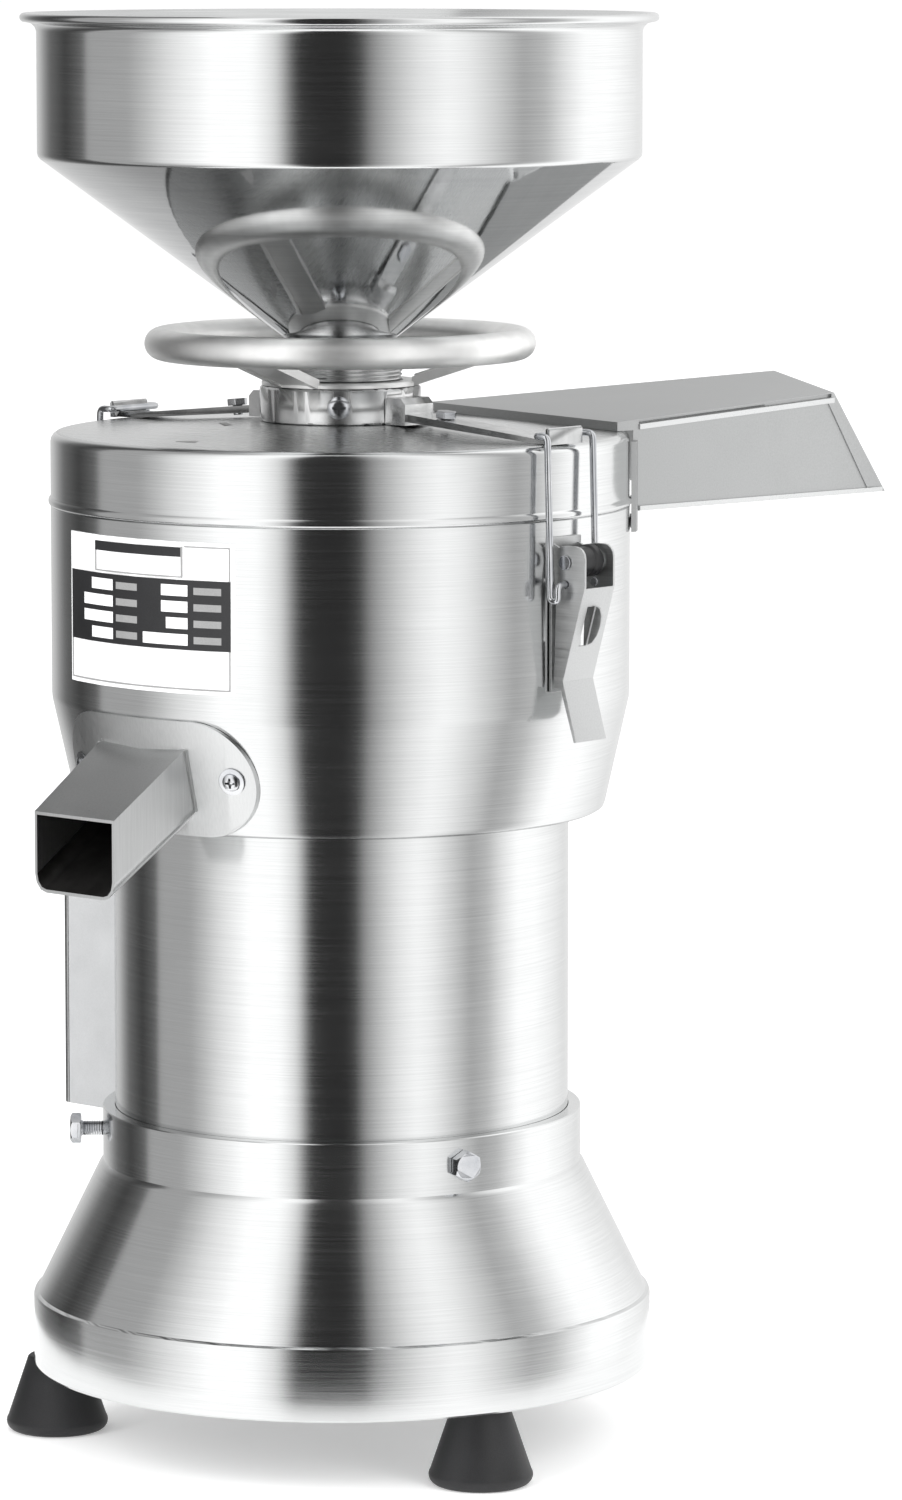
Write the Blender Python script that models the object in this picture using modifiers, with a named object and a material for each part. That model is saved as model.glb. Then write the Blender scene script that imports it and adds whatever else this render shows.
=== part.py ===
"""Soy milk and tofu grinding machine: a stone mill with a straining basket on a motor stand.

Sizes are in millimetres and turned into metres where a mesh is made. The machine axis is
vertical, the milk spout faces -Y, and Z is measured from the bench that the feet stand on.
"""
from math import atan2, cos, degrees, hypot, pi, radians, sin, sqrt, tan

import bmesh
import bpy
from mathutils import Euler, Matrix, Vector

MM = 0.001
GAP = 0.3                    # clearance between pieces that touch
RUNNING_GAP = 2.0            # clearance round what spins
ROUND = 36                   # facets of the large turned pieces
SMALL_ROUND = 24             # facets of the turned pieces inside and of small ones
AXIS_OFFSET = -83.0          # machine axis in Y, so the origin is under the middle of the footprint

# Stand
FOOT_HEIGHT = 39.7
FOOT_TOP_RADIUS = 15.2
FOOT_BOTTOM_RADIUS = 26.6
FOOT_EDGE = 5.0              # rounding of the sole's edge
FOOT_CIRCLE = 150.0          # distance of the feet from the machine axis
FRONT_FOOT_CIRCLE = 140.0    # the first foot stands further in
FOOT_AZIMUTHS = (73.0, 190.0, 310.0)
BAND_RADIUS = 161.0
BAND_HEIGHT = 36.5
CONE_HEIGHT = 69.0
CONE_TOP_RADIUS = 126.0
COLLAR_RADIUS = 124.5
COLLAR_HEIGHT = 29.5
STAND_SHEET = 2.2
FOOT_FLANGE_MARGIN = 10.5    # from the innermost foot's middle to the flange's inner edge
SHELF_RADIUS = 108.0
SHELF_THICKNESS = 4.5
COLLAR_BOLT_AZIMUTH = 72.5
COLLAR_BOLT_HEAD = 5.5
COLLAR_BOLT_RADIUS = 8.0
SLACK_BOLT_REACH = 17.0      # from the collar to the outer face of the unscrewed bolt's head

# Motor
HOUSING_RADIUS = 118.0
HOUSING_HEIGHT = 155.7       # what shows above the collar
HOUSING_SHEET = 1.5
SHIELD_RIM = 24.0
SHIELD_PLATE = 9.0
BEARING_RADIUS = 26.0
BEARING_WIDTH = 14.7
TOP_BEARING_RADIUS = 31.0
SHAFT_RADIUS = 15.0
SPINDLE_RADIUS = 10.0
ROTOR_RADIUS = 55.0
CORE_LENGTH = 80.0
WINDING_OVERHANG = 15.0
FLANGE_THICKNESS = 12.0
FAN_RADIUS = 48.0
FAN_BLADES = 6

# Bowl
BOWL_RADIUS = 149.4
BOWL_FOOT_RADIUS = 136.5
BOWL_TAPER_HEIGHT = 59.0
BOWL_WALL_HEIGHT = 98.2
BOWL_RIM_HEIGHT = 28.8
BOWL_SHEET = 2.0
BOWL_FLOOR = 3.0
SEAL_RADIUS = 21.7
SEAL_HEIGHT = 12.0
BOWL_BOLT_CIRCLE = 90.0

# Lid
LID_HEIGHT = 37.5
LID_SHEET = 3.0
LID_BEAD = 1.2
LID_BOSS_RADIUS = 46.0
LID_BOSS_HEIGHT = 5.0

# Mill and straining basket
STONE_RADIUS = 50.0
STONE_THICKNESS = 20.0
STONE_EYE_RADIUS = 20.0
STONE_SPACE = 0.6            # between the stones at the finest setting
STONE_TRAVEL = 4.0
BASKET_HEIGHT = 64.0
BASKET_BASE_RADIUS = 60.0
BASKET_RIM_RADIUS = 122.5
BASKET_SHEET = 1.6
BASKET_FLOOR = 4.0
BASKET_LIFT = 86.0           # basket floor above the bowl floor
HOLDER_RADIUS = 54.0
HOLDER_THICKNESS = 5.3
HOLDER_SLEEVE = 12.0         # height of the holder's sleeve over the tube's foot
NUT_RADIUS = 15.0
NUT_RECESS = 12.0

# Feed tube, clamp yoke and handwheel
TUBE_RADIUS = 32.0
TUBE_WALL = 5.0
TUBE_ABOVE_LID = 46.0
YOKE_RADIUS = 41.6
YOKE_HEIGHT = 18.2
YOKE_WALL = 4.6
ARM_WIDTH = 18.0
ARM_THICKNESS = 2.5
LIP_WIDTH = 26.0
LIP_HEIGHT = 6.0
WHEEL_RADIUS = 92.8          # to the middle of the ring's section
WHEEL_SECTION_RADIUS = 8.0
WHEEL_RISE = 17.2            # ring's middle above the top of the hub
HUB_FLANGE = 4.0
SPOKE_WIDTH = 25.0
SPOKE_THICKNESS = 3.0
SPOKE_RAIL = 1.0
SPOKE_AZIMUTH = 9.0

# Hopper
HOPPER_RADIUS = 155.1
HOPPER_RIM_RADIUS = 163.6
HOPPER_LIP_HEIGHT = 6.0
HOPPER_WALL_HEIGHT = 68.0
HOPPER_CONE_HEIGHT = 94.0
HOPPER_SHEET = 1.2
NECK_LENGTH = 27.0

# Milk spout
SPOUT_REACH = 195.0          # machine axis to the mouth
SPOUT_ROOT_WIDTH = 60.0
SPOUT_ROOT_HEIGHT = 42.0
SPOUT_MOUTH_WIDTH = 56.0
SPOUT_MOUTH_HEIGHT = 40.5
SPOUT_SLOPE = 32.0
SPOUT_SHEET = 1.6
SPOUT_CORNER = 8.0
SPOUT_FLANGE_LENGTH = 127.0
SPOUT_FLANGE_HEIGHT = 59.0
SPOUT_FLANGE_THICKNESS = 2.5
SPOUT_SCREW_ANGLE = 21.0

# Residue chute
CHUTE_AZIMUTH = 165.0
CHUTE_ROOT_WIDTH = 178.0
CHUTE_END_WIDTH = 128.0
CHUTE_INNER_EDGE = 112.0     # chord over the lid, from the machine axis
CHUTE_REACH = 268.0          # machine axis to the top plate's outer edge
CHUTE_END_SKEW = 22.5
CHUTE_END_RUN = 36.0         # how much further out the sloping end reaches at its foot
CHUTE_DEPTH = 46.5
CHUTE_RISE = 2.9
CHUTE_SHEET = 1.5
CHUTE_FLANGE_WIDTH = 188.0
CHUTE_FLANGE_DROP = 10.0

# Latches
LATCH_AZIMUTH = 91.5
PIVOT_STANDOFF = 11.1
PIVOT_DROP = 20.2            # below the bowl's shoulder
PIN_RADIUS = 2.5
LEVER_WIDTH = 24.0
LEVER_SHEET = 1.5
LEVER_LENGTH = 60.0          # pivot to the bend
TAB_LENGTH = 30.0
EAR_RADIUS = 8.5
EAR_REACH = 12.4             # pivot to the lever's outer face at its top
LEVER_SLOT_WIDTH = 6.0
LEVER_SLOT_HEIGHT = 20.0
LEVER_LOOP_REACH = 5.5       # how far the half ring beside the slot stands out
HOOK_ARM = 11.0              # pivot to the bail's hole
WIRE_RADIUS = 1.8
BAIL_HALF_WIDTH = 17.8
LATCH_BASE_HEIGHT = 78.0
LATCH_BASE_WIDTH = 30.0
LATCH_BASE_RISE = 12.0       # from the pivot to the base's upper edge

# Switch box
BOX_AZIMUTH = -90.0
BOX_WIDTH = 76.0
BOX_HEIGHT = 145.0
BOX_REACH = 166.3            # machine axis to the cover's outer face
BOX_SHEET = 2.0
COVER_THICKNESS = 2.5
SWITCH_WIDTH = 22.0
SWITCH_HEIGHT = 30.0
SWITCH_TILT = 8.0
CAPACITOR_LENGTH = 80.0
CAPACITOR_CLEARANCE = 1.7    # between the capacitor and the box's back wall or its cover
SWITCH_DEPTH_SHARE = 0.4     # how much of the room behind the cover the switch takes

# Plate
PLATE_HEIGHT = 76.0
PLATE_HALF_ANGLE = 22.5
PLATE_DROP = 8.2             # below the bowl's shoulder
PLATE_THICKNESS = 1.0

# Heights that follow from the stack, bench to hopper rim
stand_z = FOOT_HEIGHT + GAP
band_top_z = stand_z + BAND_HEIGHT
cone_top_z = band_top_z + CONE_HEIGHT
collar_top_z = cone_top_z + COLLAR_HEIGHT
shelf_z = cone_top_z + 2.0
bowl_z = collar_top_z + HOUSING_HEIGHT + GAP
taper_top_z = bowl_z + BOWL_TAPER_HEIGHT
shoulder_z = taper_top_z + BOWL_WALL_HEIGHT
bowl_rim_z = shoulder_z + BOWL_RIM_HEIGHT
lid_z = shoulder_z + GAP
lid_top_z = lid_z + LID_HEIGHT
yoke_z = lid_top_z + LID_BOSS_HEIGHT + GAP
yoke_top_z = yoke_z + YOKE_HEIGHT
hub_top_z = yoke_top_z + GAP + HUB_FLANGE
wheel_z = hub_top_z + WHEEL_RISE
tube_top_z = lid_top_z + TUBE_ABOVE_LID
hopper_wall_z = tube_top_z + HOPPER_CONE_HEIGHT
hopper_lip_z = hopper_wall_z + HOPPER_WALL_HEIGHT
hopper_top_z = hopper_lip_z + HOPPER_LIP_HEIGHT
basket_z = bowl_z + BOWL_FLOOR + BASKET_LIFT
lower_stone_z = basket_z + BASKET_FLOOR + GAP
upper_stone_z = lower_stone_z + STONE_THICKNESS + STONE_SPACE
holder_z = upper_stone_z + STONE_THICKNESS + GAP
tube_z = holder_z + HOLDER_THICKNESS + GAP
tube_bore = TUBE_RADIUS - TUBE_WALL
neck_radius = tube_bore - 0.5
flat_share = cos(pi / ROUND)  # a large turned piece's flats lie this much nearer than its corners
pivot_radius = BOWL_RADIUS + PIVOT_STANDOFF
pivot_z = shoulder_z - PIVOT_DROP
arm_top_z = lid_top_z + GAP + ARM_THICKNESS
spout_z = bowl_z + SPOUT_FLANGE_HEIGHT / 2
flange_z = bowl_z - GAP - FLANGE_THICKNESS
foot_flange_radius = FRONT_FOOT_CIRCLE - FOOT_FLANGE_MARGIN
foot_circles = (FRONT_FOOT_CIRCLE, FOOT_CIRCLE, FOOT_CIRCLE)

parts = bpy.data.collections.new("tofu_making_machine")
cutters = bpy.data.collections.new("cutters")
finishes = {}


def clear_scene():
    for thing in list(bpy.data.objects):
        bpy.data.objects.remove(thing, do_unlink=True)
    bpy.context.scene.collection.children.link(parts)
    bpy.context.scene.collection.children.link(cutters)


def finish(name, colour, roughness, metallic):
    """A plain Principled material, made once."""
    if name not in finishes:
        made = bpy.data.materials.new(name)
        made.use_nodes = True
        shader = made.node_tree.nodes["Principled BSDF"]
        shader.inputs["Base Color"].default_value = (*colour, 1.0)
        shader.inputs["Roughness"].default_value = roughness
        shader.inputs["Metallic"].default_value = metallic
        finishes[name] = made
    return finishes[name]


def polished_steel():
    return finish("polished_stainless_steel", (0.62, 0.62, 0.62), 0.16, 1.0)


def satin_steel():
    return finish("satin_stainless_steel", (0.52, 0.52, 0.52), 0.38, 1.0)


def cast_aluminium():
    return finish("cast_aluminium", (0.58, 0.58, 0.57), 0.42, 1.0)


def zinc_steel():
    return finish("zinc_plated_steel", (0.6, 0.6, 0.62), 0.3, 1.0)


def black_rubber():
    return finish("black_rubber", (0.02, 0.02, 0.02), 0.7, 0.0)


def black_plastic():
    return finish("black_plastic", (0.025, 0.025, 0.027), 0.45, 0.0)


def white_silicone():
    return finish("white_silicone", (0.75, 0.74, 0.7), 0.6, 0.0)


def grindstone():
    return finish("grindstone", (0.3, 0.28, 0.26), 0.95, 0.0)


def core_steel():
    return finish("core_steel", (0.16, 0.15, 0.15), 0.55, 1.0)


def frame(name, parent=None, azimuth=0.0, radius=0.0, height=0.0):
    """An empty; its -Y points outward at the azimuth, counted from -Y towards +X."""
    empty = bpy.data.objects.new(name, None)
    empty.empty_display_size = 0.03
    parts.objects.link(empty)
    turn = radians(azimuth)
    empty.rotation_euler = (0.0, 0.0, turn)
    empty.location = (radius * sin(turn) * MM, -radius * cos(turn) * MM, height * MM)
    if parent:
        empty.parent = parent
    return empty


def add(name, mesh, material=None, parent=None, place=(0, 0, 0), turn=(0, 0, 0), guide=False):
    """Link an object; place is in millimetres and turn in degrees, in the parent's frame."""
    made = bpy.data.objects.new(name, mesh)
    (cutters if guide else parts).objects.link(made)
    made.location = Vector(place) * MM
    made.rotation_euler = Euler([radians(a) for a in turn])
    made.parent = parent
    if guide:
        made.hide_render = True
        made.display_type = "WIRE"
    if material:
        mesh.materials.append(material)
    mesh.shade_smooth()
    mesh.set_sharp_from_angle(angle=radians(30))
    return made


def ring_mesh(name, profile):
    """The edges of a closed outline, outer side first and running down."""
    mesh = bpy.data.meshes.new(name)
    points = [(r * MM, 0.0, z * MM) for r, z in profile]
    edges = [(i, (i + 1) % len(points)) for i in range(len(points))]
    mesh.from_pydata(points, edges, [])
    return mesh


def turned(name, profile, material=None, parent=None, facets=ROUND, closed=True, **where):
    """A turned piece. An open profile starts and ends on the axis."""
    if closed:
        mesh = ring_mesh(name, profile)
    else:
        mesh = bpy.data.meshes.new(name)
        points = [(r * MM, 0.0, z * MM) for r, z in profile]
        mesh.from_pydata(points, [(i, i + 1) for i in range(len(points) - 1)], [])
    made = add(name, mesh, material, parent, **where)
    screw = made.modifiers.new("turn", "SCREW")
    screw.steps = facets
    screw.render_steps = facets
    screw.use_merge_vertices = True
    screw.merge_threshold = 0.00001
    screw.use_smooth_shade = True
    return made


def block(name, corner, material=None, parent=None, **where):
    """A box whose eight corners are moved by corner(side, out, up), each -1 or 1."""
    shape = bmesh.new()
    bmesh.ops.create_cube(shape, size=2.0)
    for vert in shape.verts:
        vert.co = Vector(corner(*[1 if c > 0 else -1 for c in vert.co])) * MM
    mesh = bpy.data.meshes.new(name)
    bmesh.ops.recalc_face_normals(shape, faces=shape.faces)
    shape.to_mesh(mesh)
    shape.free()
    return add(name, mesh, material, parent, **where)


def box(name, low, high, material=None, parent=None, **where):
    def corner(*signs):
        return [high[i] if sign > 0 else low[i] for i, sign in enumerate(signs)]
    return block(name, corner, material, parent, **where)


def rod(name, radius, start, end, sides=12, material=None, parent=None, **where):
    """A cylinder along local Z between two heights."""
    shape = bmesh.new()
    bmesh.ops.create_cone(shape, cap_ends=True, segments=sides, radius1=radius * MM,
                          radius2=radius * MM, depth=(end - start) * MM,
                          matrix=Matrix.Translation((0, 0, (start + end) / 2 * MM)))
    mesh = bpy.data.meshes.new(name)
    shape.to_mesh(mesh)
    shape.free()
    return add(name, mesh, material, parent, **where)


def curve_to_mesh(curve_object):
    """Swap a curve object for its evaluated mesh with welded caps, and return the mesh."""
    bpy.context.view_layer.update()
    evaluated = curve_object.evaluated_get(bpy.context.evaluated_depsgraph_get())
    mesh = bpy.data.meshes.new_from_object(evaluated)
    shape = bmesh.new()
    shape.from_mesh(mesh)
    bmesh.ops.remove_doubles(shape, verts=shape.verts, dist=0.00001)
    bmesh.ops.recalc_face_normals(shape, faces=shape.faces)
    shape.to_mesh(mesh)
    shape.free()
    bpy.data.objects.remove(curve_object, do_unlink=True)
    return mesh


def plate(name, outline, thickness, material=None, parent=None, **where):
    """A flat outline in local XY, extruded to its thickness about the local Z=0 plane."""
    curve = bpy.data.curves.new(name, "CURVE")
    curve.dimensions = "2D"
    curve.fill_mode = "BOTH"
    curve.extrude = thickness / 2 * MM
    spline = curve.splines.new("POLY")
    spline.points.add(len(outline) - 1)
    for point, (x, y) in zip(spline.points, outline):
        point.co = (x * MM, y * MM, 0.0, 1.0)
    spline.use_cyclic_u = True
    drawn = bpy.data.objects.new(name + "_outline", curve)
    parts.objects.link(drawn)
    return add(name, curve_to_mesh(drawn), material, parent, **where)


def side_plate(name, outline, width, middle=0.0, material=None, parent=None, place=(0, 0, 0),
               **where):
    """An outline of (outward, up) points, extruded across local X; outward is -Y."""
    upright = [(-out, up) for out, up in outline]
    x, y, z = place
    return plate(name, upright, width, material, parent, place=(x + middle, y, z),
                 turn=(90, 0, 90), **where)


def arc(centre, radius, start, end, steps):
    """Points of an arc in a plane, angles in degrees."""
    angles = [radians(start + (end - start) * i / steps) for i in range(steps + 1)]
    return [(centre[0] + radius * cos(a), centre[1] + radius * sin(a)) for a in angles]


def boolean(target, other, operation):
    made = target.modifiers.new(operation.lower() + "_" + other.name, "BOOLEAN")
    made.operation = operation
    made.solver = "EXACT"
    made.object = other
    return target


def cut(target, *others):
    for other in others:
        boolean(target, other, "DIFFERENCE")
    return target


def join(target, *others):
    for other in others:
        boolean(target, other, "UNION")
    return target


def bolt(name, head_radius, head_height, shank_radius, shank_length, material, parent,
         sides=6, **where):
    """A screw whose seat is the local Z=0 plane, with its shank along local -Z."""
    head = rod(name, head_radius, 0.0, head_height, sides, material, parent, **where)
    shank = rod(name + "_shank", shank_radius, -shank_length, head_height / 2, 12,
                parent=parent, guide=True, **where)
    return join(head, shank)


def wrapped(name, wall, low, high, outline, material=None, parent=None, **where):
    """A bent plate: the stretch of a turned wall that lies inside an outline seen from outside.

    wall gives the inner and outer radius at a height; the outline is centred on the wall.
    """
    profile = [(wall(high)[1], high), (wall(low)[1], low), (wall(low)[0], low),
               (wall(high)[0], high)]
    made = turned(name, profile, material, parent, **where)
    limit = plate(name + "_limit", outline, BOWL_RADIUS, parent=parent, guide=True,
                  place=(0, -BOWL_RADIUS, (low + high) / 2), turn=(90, 0, 0))
    return boolean(made, limit, "INTERSECT")


def bowl_radius_at(z):
    """Outer radius of the bowl's taper and wall at a height."""
    share = min(max((z - bowl_z - 2.5) / (BOWL_TAPER_HEIGHT - 2.5), 0.0), 1.0)
    return BOWL_FOOT_RADIUS + (BOWL_RADIUS - BOWL_FOOT_RADIUS) * share


def build_stand(axis):
    flange_top = stand_z + STAND_SHEET
    bore = HOUSING_RADIUS + GAP
    cone_inside = CONE_TOP_RADIUS - STAND_SHEET
    stand = turned("base_shell", [
        (COLLAR_RADIUS, collar_top_z), (COLLAR_RADIUS, cone_top_z),
        (CONE_TOP_RADIUS, cone_top_z - 0.8), (BAND_RADIUS - 2.2, band_top_z + 1.2),
        (BAND_RADIUS, band_top_z - 0.8), (BAND_RADIUS, stand_z + 1.0),
        (BAND_RADIUS - 1.0, stand_z), (foot_flange_radius, stand_z),
        (foot_flange_radius, flange_top), (BAND_RADIUS - STAND_SHEET, flange_top),
        (BAND_RADIUS - STAND_SHEET, band_top_z - 2.4),
        (BAND_RADIUS - 2 * STAND_SHEET, band_top_z), (cone_inside, shelf_z - SHELF_THICKNESS),
        (SHELF_RADIUS, shelf_z - SHELF_THICKNESS), (SHELF_RADIUS, shelf_z), (bore, shelf_z),
        (bore, collar_top_z)], satin_steel(), axis)
    shank = 4.0
    for number in range(3):
        spot = frame(f"foot_{number + 1}_place", axis, FOOT_AZIMUTHS[number],
                     foot_circles[number])
        turned(f"foot_{number + 1}", [
            (0, 14), (shank + GAP, 14), (shank + GAP, FOOT_HEIGHT),
            (FOOT_TOP_RADIUS, FOOT_HEIGHT), (FOOT_BOTTOM_RADIUS - 0.5, FOOT_EDGE + 2),
            (FOOT_BOTTOM_RADIUS, FOOT_EDGE), (FOOT_BOTTOM_RADIUS - FOOT_EDGE * 0.3, FOOT_EDGE * 0.3),
            (FOOT_BOTTOM_RADIUS - FOOT_EDGE, 0), (0, 0)], black_rubber(), spot, facets=20,
            closed=False)
        seat = flange_top + GAP
        bolt(f"foot_bolt_{number + 1}", 7.5, 6.0, shank, seat - 14 - 1, zinc_steel(), spot,
             place=(0, 0, seat))
        cut(stand, rod(f"foot_hole_{number + 1}", shank + GAP, stand_z - 2, flange_top + 2,
                       parent=spot, guide=True))
    return stand


def build_collar_bolts(axis, stand, housing, shield):
    """Three radial bolts clamp the motor in the stand's collar; the last one is unscrewed a bit."""
    shank = 4.0
    slack = COLLAR_RADIUS + SLACK_BOLT_REACH - COLLAR_BOLT_HEAD
    tip = HOUSING_RADIUS - 14.0
    middle = (shelf_z + collar_top_z) / 2
    for number, seat in enumerate((COLLAR_RADIUS + GAP, COLLAR_RADIUS + GAP, slack)):
        side = frame(f"collar_bolt_{number + 1}_place", axis, COLLAR_BOLT_AZIMUTH + 120 * number)
        bolt(f"collar_bolt_{number + 1}", COLLAR_BOLT_RADIUS, COLLAR_BOLT_HEAD, shank,
             seat - tip - 1, zinc_steel(), side, place=(0, -seat, middle), turn=(90, 0, 0))
        hole = rod(f"collar_hole_{number + 1}", shank + GAP, tip, slack, parent=side,
                   place=(0, 0, middle), turn=(90, 0, 0), guide=True)
        for pierced in (stand, housing, shield):
            cut(pierced, hole)


def build_motor(axis, rotor):
    inside = HOUSING_RADIUS - HOUSING_SHEET
    fit = inside * flat_share - GAP
    floor = shelf_z + GAP
    top = bowl_z - GAP
    housing = turned("motor_housing", [
        (HOUSING_RADIUS, top), (HOUSING_RADIUS, floor), (inside, floor), (inside, top)],
        polished_steel(), axis)
    pocket = floor + SHIELD_PLATE + 2
    shield = turned("lower_end_shield", [
        (fit, floor + SHIELD_RIM), (fit, floor), (SHAFT_RADIUS + 1.5, floor),
        (SHAFT_RADIUS + 1.5, pocket), (BEARING_RADIUS + GAP, pocket),
        (BEARING_RADIUS + GAP, pocket + BEARING_WIDTH), (BEARING_RADIUS + 6, pocket + BEARING_WIDTH),
        (BEARING_RADIUS + 6, floor + SHIELD_PLATE), (fit - 10, floor + SHIELD_PLATE),
        (fit - 10, floor + SHIELD_RIM)], cast_aluminium(), axis, facets=SMALL_ROUND)
    for number in range(6):
        side = frame(f"vent_{number + 1}_place", axis, 12.5 + 60 * number, 68)
        cut(shield, rod(f"vent_{number + 1}", 18, floor - 2, floor + SHIELD_PLATE + 2,
                        8, parent=side, guide=True))
    turned("lower_bearing", [
        (BEARING_RADIUS, pocket + GAP + BEARING_WIDTH), (BEARING_RADIUS, pocket + GAP),
        (SHAFT_RADIUS + GAP, pocket + GAP), (SHAFT_RADIUS + GAP, pocket + GAP + BEARING_WIDTH)],
        zinc_steel(), axis, facets=SMALL_ROUND)
    top_pocket = flange_z - 1.0
    nose = top_pocket - BEARING_WIDTH - GAP
    upper = turned("upper_end_shield", [
        (fit, top), (fit, flange_z), (TOP_BEARING_RADIUS + 6, flange_z),
        (TOP_BEARING_RADIUS + 6, nose), (TOP_BEARING_RADIUS + GAP, nose),
        (TOP_BEARING_RADIUS + GAP, top_pocket), (SHAFT_RADIUS + RUNNING_GAP, top_pocket),
        (SHAFT_RADIUS + RUNNING_GAP, top)], cast_aluminium(), axis, facets=SMALL_ROUND)
    turned("upper_bearing", [
        (TOP_BEARING_RADIUS, top_pocket - GAP), (TOP_BEARING_RADIUS, nose),
        (SHAFT_RADIUS + GAP, nose), (SHAFT_RADIUS + GAP, top_pocket - GAP)],
        zinc_steel(), axis, facets=SMALL_ROUND)
    core = (floor + SHIELD_RIM + nose - CORE_LENGTH) / 2 + 4
    core_top = core + CORE_LENGTH
    bore = ROTOR_RADIUS + 0.8
    turned("stator", [
        (bore + 42, core_top + WINDING_OVERHANG), (bore + 46, core_top), (fit, core_top),
        (fit, core), (bore + 46, core), (bore + 42, core - WINDING_OVERHANG),
        (bore + 4, core - WINDING_OVERHANG), (bore, core), (bore, core_top),
        (bore + 4, core_top + WINDING_OVERHANG)], core_steel(), axis, facets=SMALL_ROUND)
    turned("rotor_core", [
        (ROTOR_RADIUS, core_top), (ROTOR_RADIUS, core), (SHAFT_RADIUS + GAP, core),
        (SHAFT_RADIUS + GAP, core_top)], core_steel(), rotor, facets=SMALL_ROUND)
    build_fan(rotor, core - 3)
    seat = basket_z - GAP
    tip = lower_stone_z + STONE_THICKNESS - 3
    turned("shaft", [
        (0, tip), (SPINDLE_RADIUS - 1, tip), (SPINDLE_RADIUS, tip - 1), (SPINDLE_RADIUS, seat),
        (SHAFT_RADIUS, seat), (SHAFT_RADIUS, floor + 4), (SHAFT_RADIUS - 2, floor + 2),
        (0, floor + 2)], satin_steel(), rotor, facets=SMALL_ROUND, closed=False)
    return housing, shield, upper


def build_fan(rotor, top):
    """The motor's cooling fan, under the rotor core."""
    hub = SHAFT_RADIUS + 6
    height = 14.0
    fan = turned("cooling_fan", [
        (hub, top), (hub, top - height), (SHAFT_RADIUS + GAP, top - height),
        (SHAFT_RADIUS + GAP, top)], black_plastic(), rotor, facets=SMALL_ROUND)
    for number in range(FAN_BLADES):
        side = frame(f"blade_{number + 1}_place", rotor, 360 / FAN_BLADES * number)
        join(fan, box(f"blade_{number + 1}", (-1, -FAN_RADIUS, top - height + 1),
                      (1, -hub + 2, top - 1), parent=side, guide=True))


def build_bowl(axis, upper):
    floor = bowl_z + BOWL_FLOOR
    taper_top_inside = BOWL_RADIUS - BOWL_SHEET
    foot_inside = BOWL_FOOT_RADIUS - BOWL_SHEET
    rim = BOWL_RADIUS - LID_SHEET + GAP
    seal_seat = floor + 4
    bowl = turned("bowl", [
        (rim, bowl_rim_z), (rim, shoulder_z), (BOWL_RADIUS, shoulder_z),
        (BOWL_RADIUS, taper_top_z), (BOWL_FOOT_RADIUS, bowl_z + 2.5),
        (BOWL_FOOT_RADIUS - 2.5, bowl_z), (SHAFT_RADIUS + RUNNING_GAP, bowl_z),
        (SHAFT_RADIUS + RUNNING_GAP, seal_seat), (SEAL_RADIUS + GAP, seal_seat),
        (SEAL_RADIUS + GAP, seal_seat + SEAL_HEIGHT + 4), (SEAL_RADIUS + 6, seal_seat + SEAL_HEIGHT + 4),
        (SEAL_RADIUS + 8, floor), (foot_inside - 2.5, floor), (foot_inside, floor + 2.5),
        (taper_top_inside, taper_top_z), (taper_top_inside, shoulder_z - BOWL_SHEET),
        (rim - BOWL_SHEET, shoulder_z - BOWL_SHEET), (rim - BOWL_SHEET, bowl_rim_z)],
        polished_steel(), axis)
    turned("shaft_seal", [
        (SEAL_RADIUS, seal_seat + GAP + SEAL_HEIGHT), (SEAL_RADIUS, seal_seat + GAP),
        (SHAFT_RADIUS + GAP, seal_seat + GAP), (SHAFT_RADIUS + GAP, seal_seat + GAP + SEAL_HEIGHT)],
        black_rubber(), axis, facets=SMALL_ROUND)
    shank = 4.0
    for number in range(3):
        side = frame(f"bowl_bolt_{number + 1}_place", axis, 30 + 120 * number, BOWL_BOLT_CIRCLE)
        bolt(f"bowl_bolt_{number + 1}", 7.5, 5.5, shank, BOWL_FLOOR + FLANGE_THICKNESS - 2,
             zinc_steel(), side, place=(0, 0, floor + GAP))
        hole = rod(f"bowl_hole_{number + 1}", shank + GAP, flange_z - 2, floor + 2, parent=side,
                   guide=True)
        cut(bowl, hole)
        cut(upper, hole)
    tray = shoulder_z - 10.2
    fit = taper_top_inside * flat_share - GAP
    turned("residue_tray", [
        (fit, tray + 2), (fit, tray),
        (BASKET_RIM_RADIUS + RUNNING_GAP, tray), (BASKET_RIM_RADIUS + RUNNING_GAP, tray + 8),
        (BASKET_RIM_RADIUS + RUNNING_GAP + 1.5, tray + 8),
        (BASKET_RIM_RADIUS + RUNNING_GAP + 1.5, tray + 2)], satin_steel(), axis,
        facets=SMALL_ROUND)
    return bowl


def build_plate(axis):
    """The bare plate over the spout, bent to the bowl's wall."""
    top = shoulder_z - PLATE_DROP
    half = BOWL_RADIUS * sin(radians(PLATE_HALF_ANGLE))
    tall = PLATE_HEIGHT / 2
    skin = BOWL_RADIUS + GAP
    wrapped("plate", lambda z: (skin, skin + PLATE_THICKNESS), top - PLATE_HEIGHT - 1, top + 1,
            [(-half, -tall), (half, -tall), (half, tall), (-half, tall)], satin_steel(), axis)


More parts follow.
